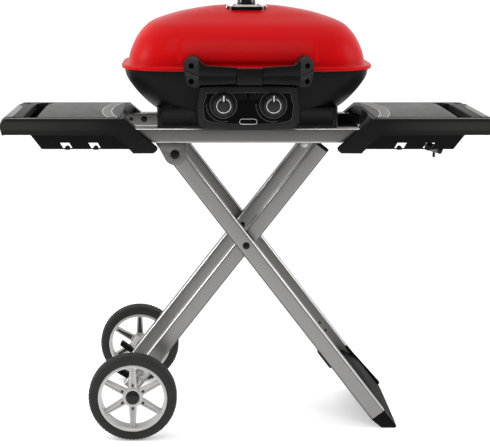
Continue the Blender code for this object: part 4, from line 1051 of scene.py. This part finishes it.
def build_shelf(hand, sign):
    wall = 0.004
    body = prism([shelf_side()], FRONT_VIEW, -SHELF_REAR, -SHELF_FRONT)
    body = rounded(body, 0.0055, 5, 50)
    y_low, y_high = SHELF_FRONT + wall, SHELF_REAR - wall
    body = cut(body, box_mesh((0.19, y_low, 0.60), (SHELF_END - 0.006, y_high, 0.7165)),
               box_mesh((0.284, y_low, 0.71), (0.466, y_high, 0.7315)),
               box_mesh((0.466, y_low, 0.71), (SHELF_END - 0.006, y_high, 0.7230)))
    slot_outline = [(0.4765, -0.155), (0.5065, -0.155), (0.5065, 0.118), (0.5030, 0.134),
                    (0.4940, 0.143), (0.4780, 0.146), (0.4762, 0.130), (0.4765, 0.080)]
    body = cut(body, prism([softened(slot_outline, 0.006)], PLAN_VIEW, 0.70, 0.78))
    saddle = [(0.2600 + 0.026 * math.cos(a), 0.138 * math.sin(a)) for a in
              [math.tau * i / 48 for i in range(48)]]
    body = cut(body, prism([saddle], PLAN_VIEW, 0.70, 0.78))
    bed = softened([(0.2862, SHELF_FRONT + 0.0135), (0.4760, SHELF_FRONT + 0.0135),
                    (0.4760, SHELF_REAR - 0.0135), (0.2862, SHELF_REAR - 0.0135)], 0.010)
    body = cut(body, prism([bed], PLAN_VIEW, 0.7344, 0.78))
    grip_bed = box_mesh((0.5215, -0.152, 0.7269), (0.60, 0.137, 0.78))
    body = cut(body, grip_bed)
    panel = softened([(0.2625, 0.6550), (0.2650, 0.6720), (0.3000, 0.7000), (0.4990, 0.7000),
                      (0.4600, 0.6550)], 0.004)
    body = cut(body, prism([panel], FRONT_VIEW, -SHELF_FRONT - 0.0016, -SHELF_FRONT + 0.01))
    for x_low, x_high in HOOK_WINDOWS:
        window = prism([hook_window(x_low, x_high)], FRONT_VIEW, -SHELF_FRONT - 0.008,
                       -SHELF_FRONT + 0.004)
        body = cut(body, window)
    pegs = []
    for x_low, x_high in HOOK_WINDOWS:
        x = (x_low + x_high) / 2 + 0.0004
        peg = arc((x, 0.6712), 0.0060, 0, 180, 16) + [(x - 0.0060, 0.6684), (x - 0.0045, 0.6674),
                                                      (x + 0.0045, 0.6674), (x + 0.0060, 0.6684)]
        pegs.append(slab(peg, FRONT_VIEW, -SHELF_FRONT - 0.0062, -SHELF_FRONT - 0.0010, 0.0006, 2))
    ribs = []
    for i in range(6):
        x = 0.4735 + 0.0062 * i
        ribs.append(rounded(box_mesh((x, 0.124, 0.7170),
                                     (x + 0.0018, SHELF_REAR - wall + 0.001, 0.7345)), 0.0004, 1))
    depth = (-SHELF_FRONT - 0.0034, -SHELF_FRONT - 0.0012)
    side_panel = boolean(prism([panel], FRONT_VIEW, *depth),
                         prism([shelf_side()], FRONT_VIEW, depth[0] - 0.001, depth[1] + 0.001),
                         "INTERSECT")
    for x_low, x_high in HOOK_WINDOWS:
        side_panel = cut(side_panel, prism([hook_window(x_low, x_high)], FRONT_VIEW,
                                           depth[0] - 0.002, depth[1] + 0.002))
    place_piece("shelf_side_panel_" + hand, handed(side_panel, sign), "shelf_low", "cart_top")
    shape = handed(merged(body, *pegs, *ribs), sign)
    place_piece("shelf_body_" + hand, shape, "shelf", "cart_top", ("shelf_" + hand,), 28)

    tub = rounded(box_mesh((0.4680, y_low - 0.001, 0.7022),
                           (SHELF_END - 0.0068, y_high + 0.001, 0.7042)), 0.0005, 1)
    place_piece("shelf_tub_floor_" + hand, handed(tub, sign), "handle_dark", "cart_top")
    # A lighter strip along the top front edge: a painted highlight of the rounded edge.
    edge = softened([(0.2900, SHELF_FRONT + 0.0028), (0.5440, SHELF_FRONT + 0.0028),
                     (0.5420, SHELF_FRONT + 0.0098), (0.2960, SHELF_FRONT + 0.0098)], 0.003)
    edge_highlight_mesh = slab(edge, PLAN_VIEW, 0.7366, 0.7379, 0.0004, 2)
    place_piece("shelf_front_edge_highlight_" + hand, handed(edge_highlight_mesh, sign), "shelf_band", "cart_top")
    outline = [(0.2868, SHELF_FRONT + 0.0145), (0.4725, SHELF_FRONT + 0.0145), (0.4745, -0.060),
               (0.4755, 0.040), (0.4745, 0.1000), (0.4700, 0.1300), (0.4580, SHELF_REAR - 0.0148),
               (0.2868, SHELF_REAR - 0.0148)]
    top = slab(softened(outline, 0.012, 8), PLAN_VIEW, 0.7344, 0.7388, 0.0008, 2)
    place_piece("shelf_top_panel_" + hand, handed(top, sign), "shelf_top", "cart_top",
                ("shelf_top_" + hand,))

    def bow(x_end, x_middle, count=24):
        """Arc across the shelf that bulges away from the grill."""
        points = []
        for i in range(count + 1):
            t = -1 + 2 * i / count
            points.append((x_end + (x_middle - x_end) * (1 - t * t), -0.010 + 0.150 * t))
        return points

    def strip(first, second, low, high):
        return prism([first + list(reversed(second))], PLAN_VIEW, low, high)

    far, near = bow(0.3130, 0.3345), bow(0.2920, 0.3120)
    top_z = 0.7388
    far_line = strip(bow(0.3130, 0.3345), bow(0.3142, 0.3357), top_z - 0.0004, top_z + 0.0005)
    near_line = strip(bow(0.2920, 0.3120), bow(0.2936, 0.3136), top_z - 0.0004, top_z + 0.0005)
    place_piece("shelf_lines_" + hand, handed(merged(far_line, near_line), sign), "shelf_line",
                "cart_top")
    band = strip(bow(0.2938, 0.3138), bow(0.3128, 0.3343), top_z - 0.0004, top_z + 0.0003)
    place_piece("shelf_band_" + hand, handed(band, sign), "shelf_band", "cart_top")
    # A darker strip at the inner end: painted shade where the shelf's end curves down.
    inner = [(0.2874, y) for _, y in near]
    end = strip(inner, bow(0.2918, 0.3118), top_z - 0.0004, top_z + 0.0002)
    place_piece("shelf_end_" + hand, handed(end, sign), "shelf_end", "cart_top")

    grip = [(0.5223, 0.7273), (0.5223, 0.7360)] + arc((0.5268, 0.7352), 0.0045, 170, 90, 6)
    grip += [(0.5300, 0.7399)] + arc((SHELF_END - 0.0168, 0.7236), 0.0163, 84, 16, 10)
    bar = prism([grip], FRONT_VIEW, -0.1347, 0.1497)
    light, dark = bar.copy(), bar
    split = [(0.5285, -0.17), (0.60, -0.17), (0.60, 0.0960), (0.5560, 0.0960), (0.5440, 0.0860),
             (0.5330, 0.0600), (0.5290, 0.0200)]
    light = boolean(light, prism([softened(split, 0.008, 6)], PLAN_VIEW, 0.70, 0.76), "INTERSECT")
    dark = boolean(dark, prism([softened(split, 0.008, 6)], PLAN_VIEW, 0.70, 0.76), "DIFFERENCE")
    dark = cut(dark, box_mesh((0.50, 0.1080, 0.70), (0.60, 0.20, 0.76)))
    light = rounded(light, 0.0012, 3, 40)
    dark = rounded(dark, 0.0012, 3, 40)
    sill = prism([softened([(0.5085, -0.1490), (0.5228, -0.1490), (0.5228, 0.1080),
                            (0.5130, 0.1060), (0.5085, 0.0960)], 0.004)], PLAN_VIEW, 0.7368, 0.7388)
    dark = merged(dark, rounded(sill, 0.0006, 2))
    place_piece("shelf_grip_band_" + hand, handed(light, sign), "grip", "cart_top",
                ("shelf_grip_" + hand,))
    place_piece("shelf_grip_inner_" + hand, handed(dark, sign), "grip_dark", "cart_top")


# ---- rails ------------------------------------------------------------------------------
RAIL_Y = 0.1475
RAIL_DEPTH = 0.025
RAIL_HALF = 0.290


def build_rails():
    wall = 0.002
    low, high = cart_box("front_rail")
    height = high.z - low.z
    middle_z = (high.z + low.z) / 2
    outer = rounded_rectangle(RAIL_DEPTH, height, 0.006, 8)
    inner = rounded_rectangle(RAIL_DEPTH - 2 * wall, height - 2 * wall, 0.004, 6)
    for side, sign in SIDES:
        view = axes_matrix(Vector((0, sign * RAIL_Y, middle_z)), Y_AXIS, Z_AXIS)
        mesh = prism([outer, inner], view, -RAIL_HALF, RAIL_HALF)
        place_piece(side + "_rail_tube", mesh, "rail", "cart_top", (side + "_rail",), 30)
        inside = -sign
        face = sign * (RAIL_Y - RAIL_DEPTH / 2)
        y_low, y_high = sorted((face, face + inside * 0.0035))
        track = rounded(box_mesh((0.19, y_low, 0.6868), (0.2896, y_high, 0.7128)), 0.001, 2)
        place_piece("slide_liner_" + side, track, "handle_dark", "cart_top")
        bolts = []
        for x, radius in ((-0.243, 0.0078), (-0.275, 0.0046)):
            profile = [(0, 0.0030), (radius * 0.5, 0.0030), (radius, 0.0010), (radius, -0.0002),
                       (0, -0.0002)]
            bolts.append(lathe(profile, Vector((x, face, 0.6985)), Vector((0, inside, 0)), 24))
        place_piece("rail_bolts_" + side, merged(*bolts), "bolt", "cart_top")
        plug = rounded_rectangle(RAIL_DEPTH - 0.0043, height - 0.0043, 0.0038, 6)
        caps = [prism([plug], view, start, start + 0.003)
                for start in (0.001 - RAIL_HALF, RAIL_HALF - 0.004)]
        place_piece("rail_end_caps_" + side, merged(*caps), "foot", "cart_top")
    refinished("rail", "cross_bar_left", "cross_bar_right", "slide_track_front", "slide_track_rear")


def hex_socket_bolt(place, outwards, radius, height, steps=32):
    """Button-head bolt with a hexagonal socket, on a thin washer."""
    profile = [(0, height), (radius * 0.45, height), (radius * 0.80, height * 0.86),
               (radius * 0.97, height * 0.45), (radius, 0.0008), (radius * 1.22, 0.0007),
               (radius * 1.22, 0.0), (0, 0)]
    head = lathe(profile, place, outwards, steps)
    start = place + outwards * (height * 0.35)
    socket = cylinder_mesh(start, place + outwards * (height * 2), radius * 0.40, 6)
    return cut(head, socket)


def build_pivots():
    face = 0.1505
    top = cart_box("front_rail")[0].z - 0.0003
    centre = (PIVOT.x, PIVOT.z)
    outline = [(-0.207, top), (-0.199, 0.668)] + arc(centre, 0.025, 205, 360, 24) + [(-0.1382, top)]
    for side, sign in SIDES:
        y_low, y_high = span(sign, face, face + 0.003)
        plate = prism([outline, arc(centre, BOLT_HOLE, 0, 345, 23)], FRONT_VIEW, -y_high, -y_low)
        place_piece("pivot_plate_" + side, rounded(plate, 0.0009, 3), "bracket", "cart_top",
                    ("pivot_bracket_" + side,))
        outwards = Vector((0, sign, 0))
        head = hex_socket_bolt(PIVOT + outwards * (face + 0.0031), outwards, 0.0086, 0.0056)
        shaft = cylinder_mesh(PIVOT + outwards * 0.118, PIVOT + outwards * (face + 0.0034), 0.0040,
                              24)
        nut = rounded(cylinder_mesh(PIVOT + outwards * 0.1185, PIVOT + outwards * 0.1216, 0.0072,
                                    6), 0.0005, 2)
        place_piece("pivot_bolt_set_" + side, merged(head, shaft, nut), "bolt", "cart_top",
                    ("pivot_bolt_" + side,))


# ---- legs -------------------------------------------------------------------------------
OUTER_LEG_VIEW = axes_matrix(CROSS, OUTER_ALONG, OUTER_ACROSS)      # depth along -Y
INNER_LEG_VIEW = axes_matrix(CROSS, INNER_ALONG, INNER_ACROSS)      # depth along +Y
LEG_FACE = 0.038
LEG_DEPTH = 0.028
LEG_WALL = 0.002
LEG_CORNER = 0.006
OUTER_LEG_Y = 0.136
INNER_LEG_Y = 0.102


def at_y(point, y):
    return Vector((point.x, y, point.z))


def leg_view(along, y):
    across = Y_AXIS.cross(along)
    return axes_matrix(at_y(CROSS, y), across, along.cross(across))


def leg_tube(along, y, start, end):
    outer = rounded_rectangle(LEG_FACE, LEG_DEPTH, LEG_CORNER, 8)
    inner = rounded_rectangle(LEG_FACE - 2 * LEG_WALL, LEG_DEPTH - 2 * LEG_WALL, 0.004, 6)
    return prism([outer, inner], leg_view(along, y), start, end)


def leg_cylinder(place, y, radius):
    return cylinder_mesh(at_y(place, y - 0.03), at_y(place, y + 0.03), radius, 24)


def leg_point(view, down, up, y):
    """A place on a leg: down it from the crossing, up across it."""
    return at_y(view @ Vector((down, up, 0)), y)


def build_outer_legs():
    top, foot_start = -PIVOT_REACH - 0.016, 0.5165
    for side, sign in SIDES:
        y = sign * OUTER_LEG_Y
        leg = cut(leg_tube(OUTER_ALONG, y, top, foot_start), leg_cylinder(PIVOT, y, BOLT_HOLE),
                  leg_cylinder(CROSS, y, BOLT_HOLE))
        # The rear legs take the darker copy of the paint, as painted shade.
        place_piece("outer_leg_tube_" + side, leg, "leg_outer" if sign < 0 else "leg_rear_shaded",
                    "outer_legs",
                    ("outer_leg_" + side,), 30)
        high = OUTER_LEG_VIEW @ Vector((foot_start + 0.0003, 0.019, 0))
        low = OUTER_LEG_VIEW @ Vector((foot_start + 0.0003, -0.019, 0))
        slope = OUTER_ALONG.x / -OUTER_ALONG.z
        right, left = high.x + high.z * slope, low.x + low.z * slope
        outline = [(low.x, low.z), (high.x, high.z)]
        outline += arc((right - 0.0075, 0.0040), 0.0040, 20, -90, 6)
        outline += arc((left + 0.0125, 0.0105), 0.0105, -90, -140, 8)
        foot = slab(outline, FRONT_VIEW, -y - LEG_DEPTH / 2, -y + LEG_DEPTH / 2, 0.0028, 4)
        place_piece("outer_foot_cap_" + side, foot, "foot", "outer_legs",
                    ("outer_foot_" + side,))
        band = prism([rounded_rectangle(LEG_FACE + 0.0002, LEG_DEPTH + 0.0002, LEG_CORNER, 8),
                      rounded_rectangle(LEG_FACE - 0.0040, LEG_DEPTH - 0.0040, LEG_CORNER - 0.002,
                                        8)], leg_view(OUTER_ALONG, y), foot_start - 0.0002,
                     foot_start + 0.0006)
        place_piece("foot_seam_" + side, band, "bolt", "outer_legs")
        pad_outline = softened([(0.307, -0.0191), (0.357, -0.0191), (0.357, -0.0225),
                                (0.307, -0.0225)], 0.0012)
        pad = prism([pad_outline], OUTER_LEG_VIEW, -y - 0.010, -y + 0.010)
        place_piece("leg_pad_" + side, rounded(pad, 0.0006, 2), "foot", "outer_legs")
    screws = []
    for down in (0.329, 0.354):
        place = leg_point(OUTER_LEG_VIEW, down, 0.0, OUTER_LEG_Y - LEG_DEPTH / 2)
        screws.append(lathe([(0, 0.0022), (0.0016, 0.0022), (0.0030, 0.0010), (0.0033, 0), (0, 0)],
                            place, -Y_AXIS, 24))
    place_piece("leg_screws", merged(*screws), "bolt", "outer_legs")
    for side, sign in SIDES:
        outwards = Vector((0, sign, 0))
        outer_face = OUTER_LEG_Y + LEG_DEPTH / 2
        head = hex_socket_bolt(at_y(CROSS, sign * outer_face) + outwards * 0.0002, outwards, 0.0068,
                               0.0048)
        shaft = cylinder_mesh(at_y(CROSS, sign * 0.084), at_y(CROSS, sign * (outer_face + 0.001)),
                              0.0040, 24)
        collar = rounded(cylinder_mesh(at_y(CROSS, sign * 0.1164), at_y(CROSS, sign * 0.1217),
                                       0.0090, 32), 0.0004, 2)
        nut = rounded(cylinder_mesh(at_y(CROSS, sign * 0.0830), at_y(CROSS, sign * 0.0876), 0.0072,
                                    6), 0.0006, 2)
        place_piece("cross_bolt_set_" + side, merged(head, shaft, collar, nut), "bolt",
                    "outer_legs", ("cross_bolt_" + side,))


def build_foot_plate():
    half = OUTER_LEG_Y - LEG_DEPTH / 2 - 0.0008
    top = LEG_FACE / 2 + 0.0005
    scoop = smooth_route([(0.421, 0.003, 0), (0.430, 0.0062, 0), (0.446, 0.0138, 0),
                          (0.464, 0.0186, 0), (0.480, top, 0)], 4)
    outline = [(0.421, -0.015)] + [(p.x, p.y) for p in scoop] + [(0.5675, top), (0.5445, -0.015)]
    pocket = [(0.4255, -0.030), (0.4255, 0.000), (0.4375, 0.0055), (0.4625, 0.0140),
              (0.480, top - 0.004), (0.5610, top - 0.004), (0.5300, -0.030)]
    plate = cut(prism([outline], OUTER_LEG_VIEW, -half, half),
                prism([pocket], OUTER_LEG_VIEW, -half + 0.004, half - 0.004))
    plate = rounded(plate, 0.0016, 2)
    place_piece("step_plate", plate, "step_dark", "outer_legs", ("foot_plate",))
    flange = [(0.418, top - 0.006), (0.418, top), (0.5470, top + 0.0090), (0.5505, top + 0.0075),
              (0.5520, top + 0.0030), (0.5490, top - 0.0010), (0.5430, top - 0.006)]
    place_piece("step_flange", slab(flange, OUTER_LEG_VIEW, -half, 0.0045 - half, 0.0012, 3),
                "step_dark", "outer_legs")
    ribs = []
    for i in range(27):
        start = 0.4845 + 0.0030 * i
        rib = [(start, top - 0.0004), (start + 0.0006, top + 0.0004),
               (start + 0.0015, top + 0.0004), (start + 0.0021, top - 0.0004)]
        ribs.append(prism([rib], OUTER_LEG_VIEW, -half + 0.006, half - 0.006))
    place_piece("step_ribs", merged(*ribs), "step", "outer_legs")


def build_inner_legs():
    top = -0.280
    for side, sign in SIDES:
        y = sign * INNER_LEG_Y
        leg = cut(leg_tube(INNER_ALONG, y, top, AXLE_REACH + 0.019),
                  leg_cylinder(CROSS, y, BOLT_HOLE), leg_cylinder(AXLE, y, AXLE_HOLE))
        place_piece("inner_leg_tube_" + side, leg, "leg_inner", "inner_legs",
                    ("inner_leg_" + side,), 30)
        plug = prism([rounded_rectangle(LEG_FACE, LEG_DEPTH, LEG_CORNER, 8)],
                     leg_view(INNER_ALONG, y), top - 0.007, top - 0.0003)
        place_piece("slide_cap_moulded_" + side, rounded(plug, 0.0022, 4), "foot", "inner_legs",
                    ("slide_cap_" + side,))
        end = prism([rounded_rectangle(LEG_FACE - 0.0044, LEG_DEPTH - 0.0044, 0.0038, 6)],
                    leg_view(INNER_ALONG, y), AXLE_REACH + 0.015, AXLE_REACH + 0.0185)
        place_piece("leg_end_plug_" + side, end, "foot", "inner_legs")
        near = LEG_FACE / 2 + 0.0003
        post = softened([(AXLE_REACH - 0.006, near), (AXLE_REACH + 0.006, near),
                         (AXLE_REACH + 0.006, near + 0.035), (AXLE_REACH - 0.006, near + 0.035)],
                        0.004)
        foot = slab(post, INNER_LEG_VIEW, y - 0.010, y + 0.010, 0.0012, 2)
        place_piece("standing_foot_moulded_" + side, foot, "foot", "inner_legs",
                    ("standing_foot_" + side,))
        outwards = Vector((0, sign, 0))
        plate = softened([(AXLE_REACH - 0.040, -0.0165), (AXLE_REACH + 0.016, -0.0165),
                          (AXLE_REACH + 0.016, 0.0165), (AXLE_REACH - 0.040, 0.0165)], 0.006, 6)
        face = INNER_LEG_Y + LEG_DEPTH / 2
        y_low, y_high = span(sign, face + 0.0002, face + 0.0024)
        plate_mesh = cut(prism([plate], INNER_LEG_VIEW, y_low, y_high),
                         leg_cylinder(AXLE, sign * face, 0.0064))
        place_piece("axle_bracket_" + side, rounded(plate_mesh, 0.0006, 2), "steel", "inner_legs")
        bolt_place = leg_point(INNER_LEG_VIEW, AXLE_REACH - 0.028, 0, sign * (face + 0.0024))
        place_piece("axle_bracket_bolt_" + side,
                    hex_socket_bolt(bolt_place, outwards, 0.0058, 0.0040),
                    "steel", "inner_legs")
    nut_place = leg_point(INNER_LEG_VIEW, -0.252, 0.004, INNER_LEG_Y - LEG_DEPTH / 2)
    nut = rounded(cylinder_mesh(nut_place, nut_place - Vector((0, 0.0062, 0)), 0.0070, 6), 0.0006,
                  2)
    washer = cylinder_mesh(nut_place + Vector((0, 0.0002, 0)), nut_place - Vector((0, 0.0012, 0)),
                           0.0092, 32)
    thread = cylinder_mesh(nut_place, nut_place - Vector((0, 0.0095, 0)), 0.0034, 24)
    place_piece("rear_leg_nut", merged(nut, washer, thread), "steel", "inner_legs")


# ---- wheels -----------------------------------------------------------------------------
def tyre_mesh(centre, outwards):
    """Tyre with cut tread blocks round it and a rounded shoulder."""
    seat = 0.0798
    profile = [(seat, 0.0186), (0.0820, 0.0200), (0.0880, 0.0208), (0.0930, 0.0210),
               (0.0965, 0.0200), (0.0992, 0.0178), (0.1008, 0.0145), (WHEEL_RADIUS, 0.0105),
               (WHEEL_RADIUS, 0.0060), (0.1004, 0.0052), (0.1004, 0.0040), (WHEEL_RADIUS, 0.0032)]
    profile += [(r, -h) for r, h in reversed(profile)]
    steps = 288
    turn = Z_AXIS.rotation_difference(outwards).to_matrix().to_4x4()
    matrix = Matrix.Translation(centre) @ turn
    rows = []
    for radius, height in profile:
        row = []
        for i in range(steps):
            angle = math.tau * i / steps
            cut_depth = 0.0013 if radius > 0.0988 and i % 4 == 3 else 0.0
            r = radius - cut_depth
            row.append(matrix @ Vector((r * math.cos(angle), r * math.sin(angle), height)))
        rows.append(row)
    rows.append(rows[0])
    mesh = loft(rows)
    with editing(mesh) as bm:
        bmesh.ops.remove_doubles(bm, verts=bm.verts, dist=SAME_PLACE)
        bmesh.ops.recalc_face_normals(bm, faces=bm.faces)
    return mesh


def spoke_mesh(centre, outwards, degrees):
    """One spoke: widest at the hub, grooved down its middle, sloping in towards the hub."""
    levels = []
    for i in range(9):
        t = i / 8
        reach = 0.0150 + t * 0.0592
        half = 0.0098 - 0.0038 * t
        ridge = 0.0074 - 0.0036 * t
        front = 0.0092 + 0.0052 * smoothstep(0.05, 0.85, t)
        back = -0.0010
        groove = 0.0034 * smoothstep(0.08, 0.20, t) * (1 - smoothstep(0.92, 1.0, t))
        section = [(-half, back), (-half, front - 0.0052), (-ridge - 0.0004, front - 0.0004),
                   (-ridge + 0.0004, front), (-ridge * 0.60, front),
                   (-ridge * 0.42, front - groove), (ridge * 0.42, front - groove),
                   (ridge * 0.60, front), (ridge - 0.0004, front), (ridge + 0.0004, front - 0.0004),
                   (half, front - 0.0052), (half, back)]
        levels.append([(w, reach, y) for w, y in section])
    mesh = loft([[Vector(p) for p in level] for level in levels], True, True)
    turn = Matrix.Rotation(math.radians(degrees), 4, "Y")
    base = Matrix((X_AXIS, Z_AXIS, outwards)).transposed().to_4x4()
    mesh.transform(Matrix.Translation(centre) @ turn @ base)
    return facing_out(mesh)


def build_wheel(side, sign):
    centre = Vector((AXLE.x, sign * WHEEL_Y, AXLE.z))
    outwards = Vector((0, sign, 0))
    body = side + "_wheel"
    place_piece(side + "_tyre_treaded", tyre_mesh(centre, outwards), "tyre", body,
                (side + "_tyre",), 25)
    barrel = [(0.0722, 0.0168), (0.0728, 0.0190), (0.0745, 0.0203), (0.0775, 0.0204),
              (0.0790, 0.0196), (0.0795, 0.0188), (0.0795, -0.0188), (0.0775, -0.0200),
              (0.0745, -0.0200), (0.0730, -0.0180), (0.0722, -0.0100), (0.0715, 0.0)]
    rim = lathe(barrel, centre, outwards, 128)
    spokes = [spoke_mesh(centre, outwards, 60 * i) for i in range(6)]
    hub = lathe([(0.0064, 0.0075), (0.0158, 0.0075), (0.0160, 0.0108), (0.0172, 0.0118),
                 (0.0194, 0.0118), (0.0202, 0.0112), (0.0206, 0.0098), (0.0216, 0.0096),
                 (0.0230, 0.0088), (0.0238, 0.0070), (0.0238, 0.0), (0.0205, -0.0060),
                 (0.0196, -0.0180), (0.0185, -0.0190), (0.0064, -0.0190)],
                centre, outwards, 72)
    place_piece(side + "_rim_spoked", merged(rim, hub, *spokes), "rim", body,
                (side + "_rim",), 32)
    # Dark pieces in the spoke grooves at the hub and behind the open spoke backs: painted shade in
    # these hollows.
    slot = rounded_rectangle(0.0044, 0.0060, 0.0018, 4, (0, 0.0276))
    hollow_shade = [(-0.0056, 0.0250), (0.0056, 0.0250), (0.0026, 0.0665), (-0.0026, 0.0665)]
    slots = []
    for i in range(6):
        turn = Matrix.Rotation(math.radians(60 * i), 4, "Y")
        for outline, low, high in ((slot, 0.0, 0.0099), (hollow_shade, -0.0016, -0.0006)):
            piece = prism([outline], FRONT_VIEW, low, high)
            piece.transform(turn)
            if sign > 0:
                piece.transform(Matrix.Rotation(math.pi, 4, "Z"))
            piece.transform(Matrix.Translation(centre))
            slots.append(piece)
    place_piece(side + "_spoke_shade_pieces", merged(*slots), "spoke_hollow_shade", body)
    cap = [(0, 0.0172), (0.0080, 0.0170), (0.0118, 0.0160), (0.0142, 0.0140), (0.0150, 0.0110),
           (0.0150, 0.0087), (0, 0.0087)]
    place_piece(side + "_hub_cap_domed", lathe(cap, centre, outwards, 64), "cap", body,
                (side + "_hub_cap",))


def build_axle():
    half = WHEEL_Y + 0.0035
    rod = lathe([(0, -half), (0.0054, -half), (0.0060, -half + 0.0006), (0.0060, half - 0.0006),
                 (0.0054, half), (0, half)], Vector((AXLE.x, 0, AXLE.z)), Y_AXIS, 48)
    place_piece("axle_rod", rod, "steel", "inner_legs", ("axle",))


# ---- gas parts, grids and tray ------------------------------------------------------------
def build_gas_parts():
    route = [(0.0858, -0.1770, 0.7600), (0.0900, -0.1770, 0.7600), (0.0955, -0.1755, 0.7545),
             (0.0980, -0.1695, 0.7400), (0.0985, -0.1600, 0.7310), (0.0985, -0.1500, 0.7295),
             (0.1030, -0.1440, 0.7285), (0.1250, -0.1420, 0.7280), (0.1480, -0.1370, 0.7280),
             (0.1600, -0.1150, 0.7270), (0.1700, -0.0800, 0.7200), (0.1850, -0.0620, 0.6950),
             (0.2080, -0.0550, 0.6790), (0.2500, -0.0520, 0.6755), (0.3200, -0.0480, 0.6740),
             (0.3850, -0.0380, 0.6710), (0.4100, -0.0320, 0.6640), (0.4255, -0.0300, 0.6575)]
    place_piece("gas_pipe_bent", tube(smooth_route(route, 4), 0.0040, 5), "pipe", "cart_top",
                ("gas_pipe",), 50)
    along = Vector((0.94, 0, -0.34)).normalized()
    start = Vector((0.4266, -0.030, 0.6571))
    black = lathe([(0, 0.0130), (0.0075, 0.0130), (0.0105, 0.0110), (0.0105, 0.0020),
                   (0.0085, 0), (0, 0)], start, along, 32)
    end = lathe([(0, 0.0400), (0.0070, 0.0400), (0.0085, 0.0380), (0.0085, 0.0290),
                 (0.0075, 0.0278), (0, 0.0278)], start, along, 32)
    stem_top = start + 0.020 * along
    stem = lathe([(0, -0.0210), (0.0028, -0.0210), (0.0032, -0.0200), (0.0032, -0.0120),
                  (0.0024, -0.0110), (0.0032, -0.0100), (0.0032, 0), (0, 0)], stem_top, Z_AXIS, 24)
    place_piece("gas_inlet_body", merged(black, end, stem), "bolt", "cart_top",
                ("gas_inlet",))
    levels = []
    for height in (0.0128, 0.0140, 0.0205, 0.0268, 0.0280):
        inset = 0.0008 if height in (0.0128, 0.0280) else 0.0
        matrix = Matrix.Translation(start) @ Z_AXIS.rotation_difference(along).to_matrix().to_4x4()
        ring_points = []
        for i in range(72):
            angle = math.tau * i / 72
            radius = 0.0095 - inset - (0.0007 if i % 3 == 0 else 0.0)
            ring_points.append(matrix @ Vector((radius * math.cos(angle), radius * math.sin(angle),
                                                height)))
        levels.append(ring_points)
    place_piece("gas_inlet_nut", loft(levels, True, True), "nut", "cart_top")
    refinished("valve", "valve_manifold")
    refinished("steel", "stem_left", "stem_right")


def build_burners():
    z = 0.775
    for hand, sign in HANDS:
        x = sign * KNOB_X
        far = sign * 0.130
        route = [(x, -0.1687, KNOB_Z), (x, -0.1400, KNOB_Z), (sign * 0.062, -0.1180, 0.7722),
                 (sign * 0.105, -0.0860, 0.7745), (sign * 0.124, -0.0690, z),
                 (far, -0.0480, z), (far, 0.1460, z)]
        pipe = tube(route, 0.0080, 6)
        ports = []
        for i in range(30):
            y = -0.040 + 0.0060 * i
            for lean in (-1, 1):
                direction = Vector((lean * 0.75, 0, 0.66)).normalized()
                place = Vector((far, y, z)) + direction * 0.0076
                ports.append(cylinder_mesh(place, place + direction * 0.0008, 0.0010, 8))
        place_piece("burner_tube_" + hand, pipe, "burner", "cart_top",
                    ("burner_" + hand,), 40)
        place_piece("burner_ports_" + hand, merged(*ports), "bolt", "cart_top")
    refinished("burner", "heat_shield")


def build_grids():
    for hand, _ in HANDS:
        refined("cooking_grid_" + hand, 0.0011, "cast_iron", hand + "_grid")


def build_tray():
    refined("grease_tray", 0.0005, "tray", "tray")
    low, high = cart_box("grease_tray")
    lip = tube([Vector((-0.060, high.y - 0.003, low.z + 0.0185)),
                Vector((0.060, high.y - 0.003, low.z + 0.0185))], 0.0016, 4)
    place_piece("tray_pull_edge", lip, "tray", "tray")


build_stage()
build_lid()
build_bowl()
build_skirt()
build_control_panel()
build_knobs()
build_handles()
build_thermometer()
build_hinges()
for hand_name, hand_sign in HANDS:
    build_shelf(hand_name, hand_sign)
build_rails()
build_pivots()
build_outer_legs()
build_foot_plate()
build_inner_legs()
build_axle()
for side_name, side_sign in SIDES:
    build_wheel(side_name, side_sign)
build_gas_parts()
build_burners()
build_grids()
build_tray()

bpy.context.view_layer.update()
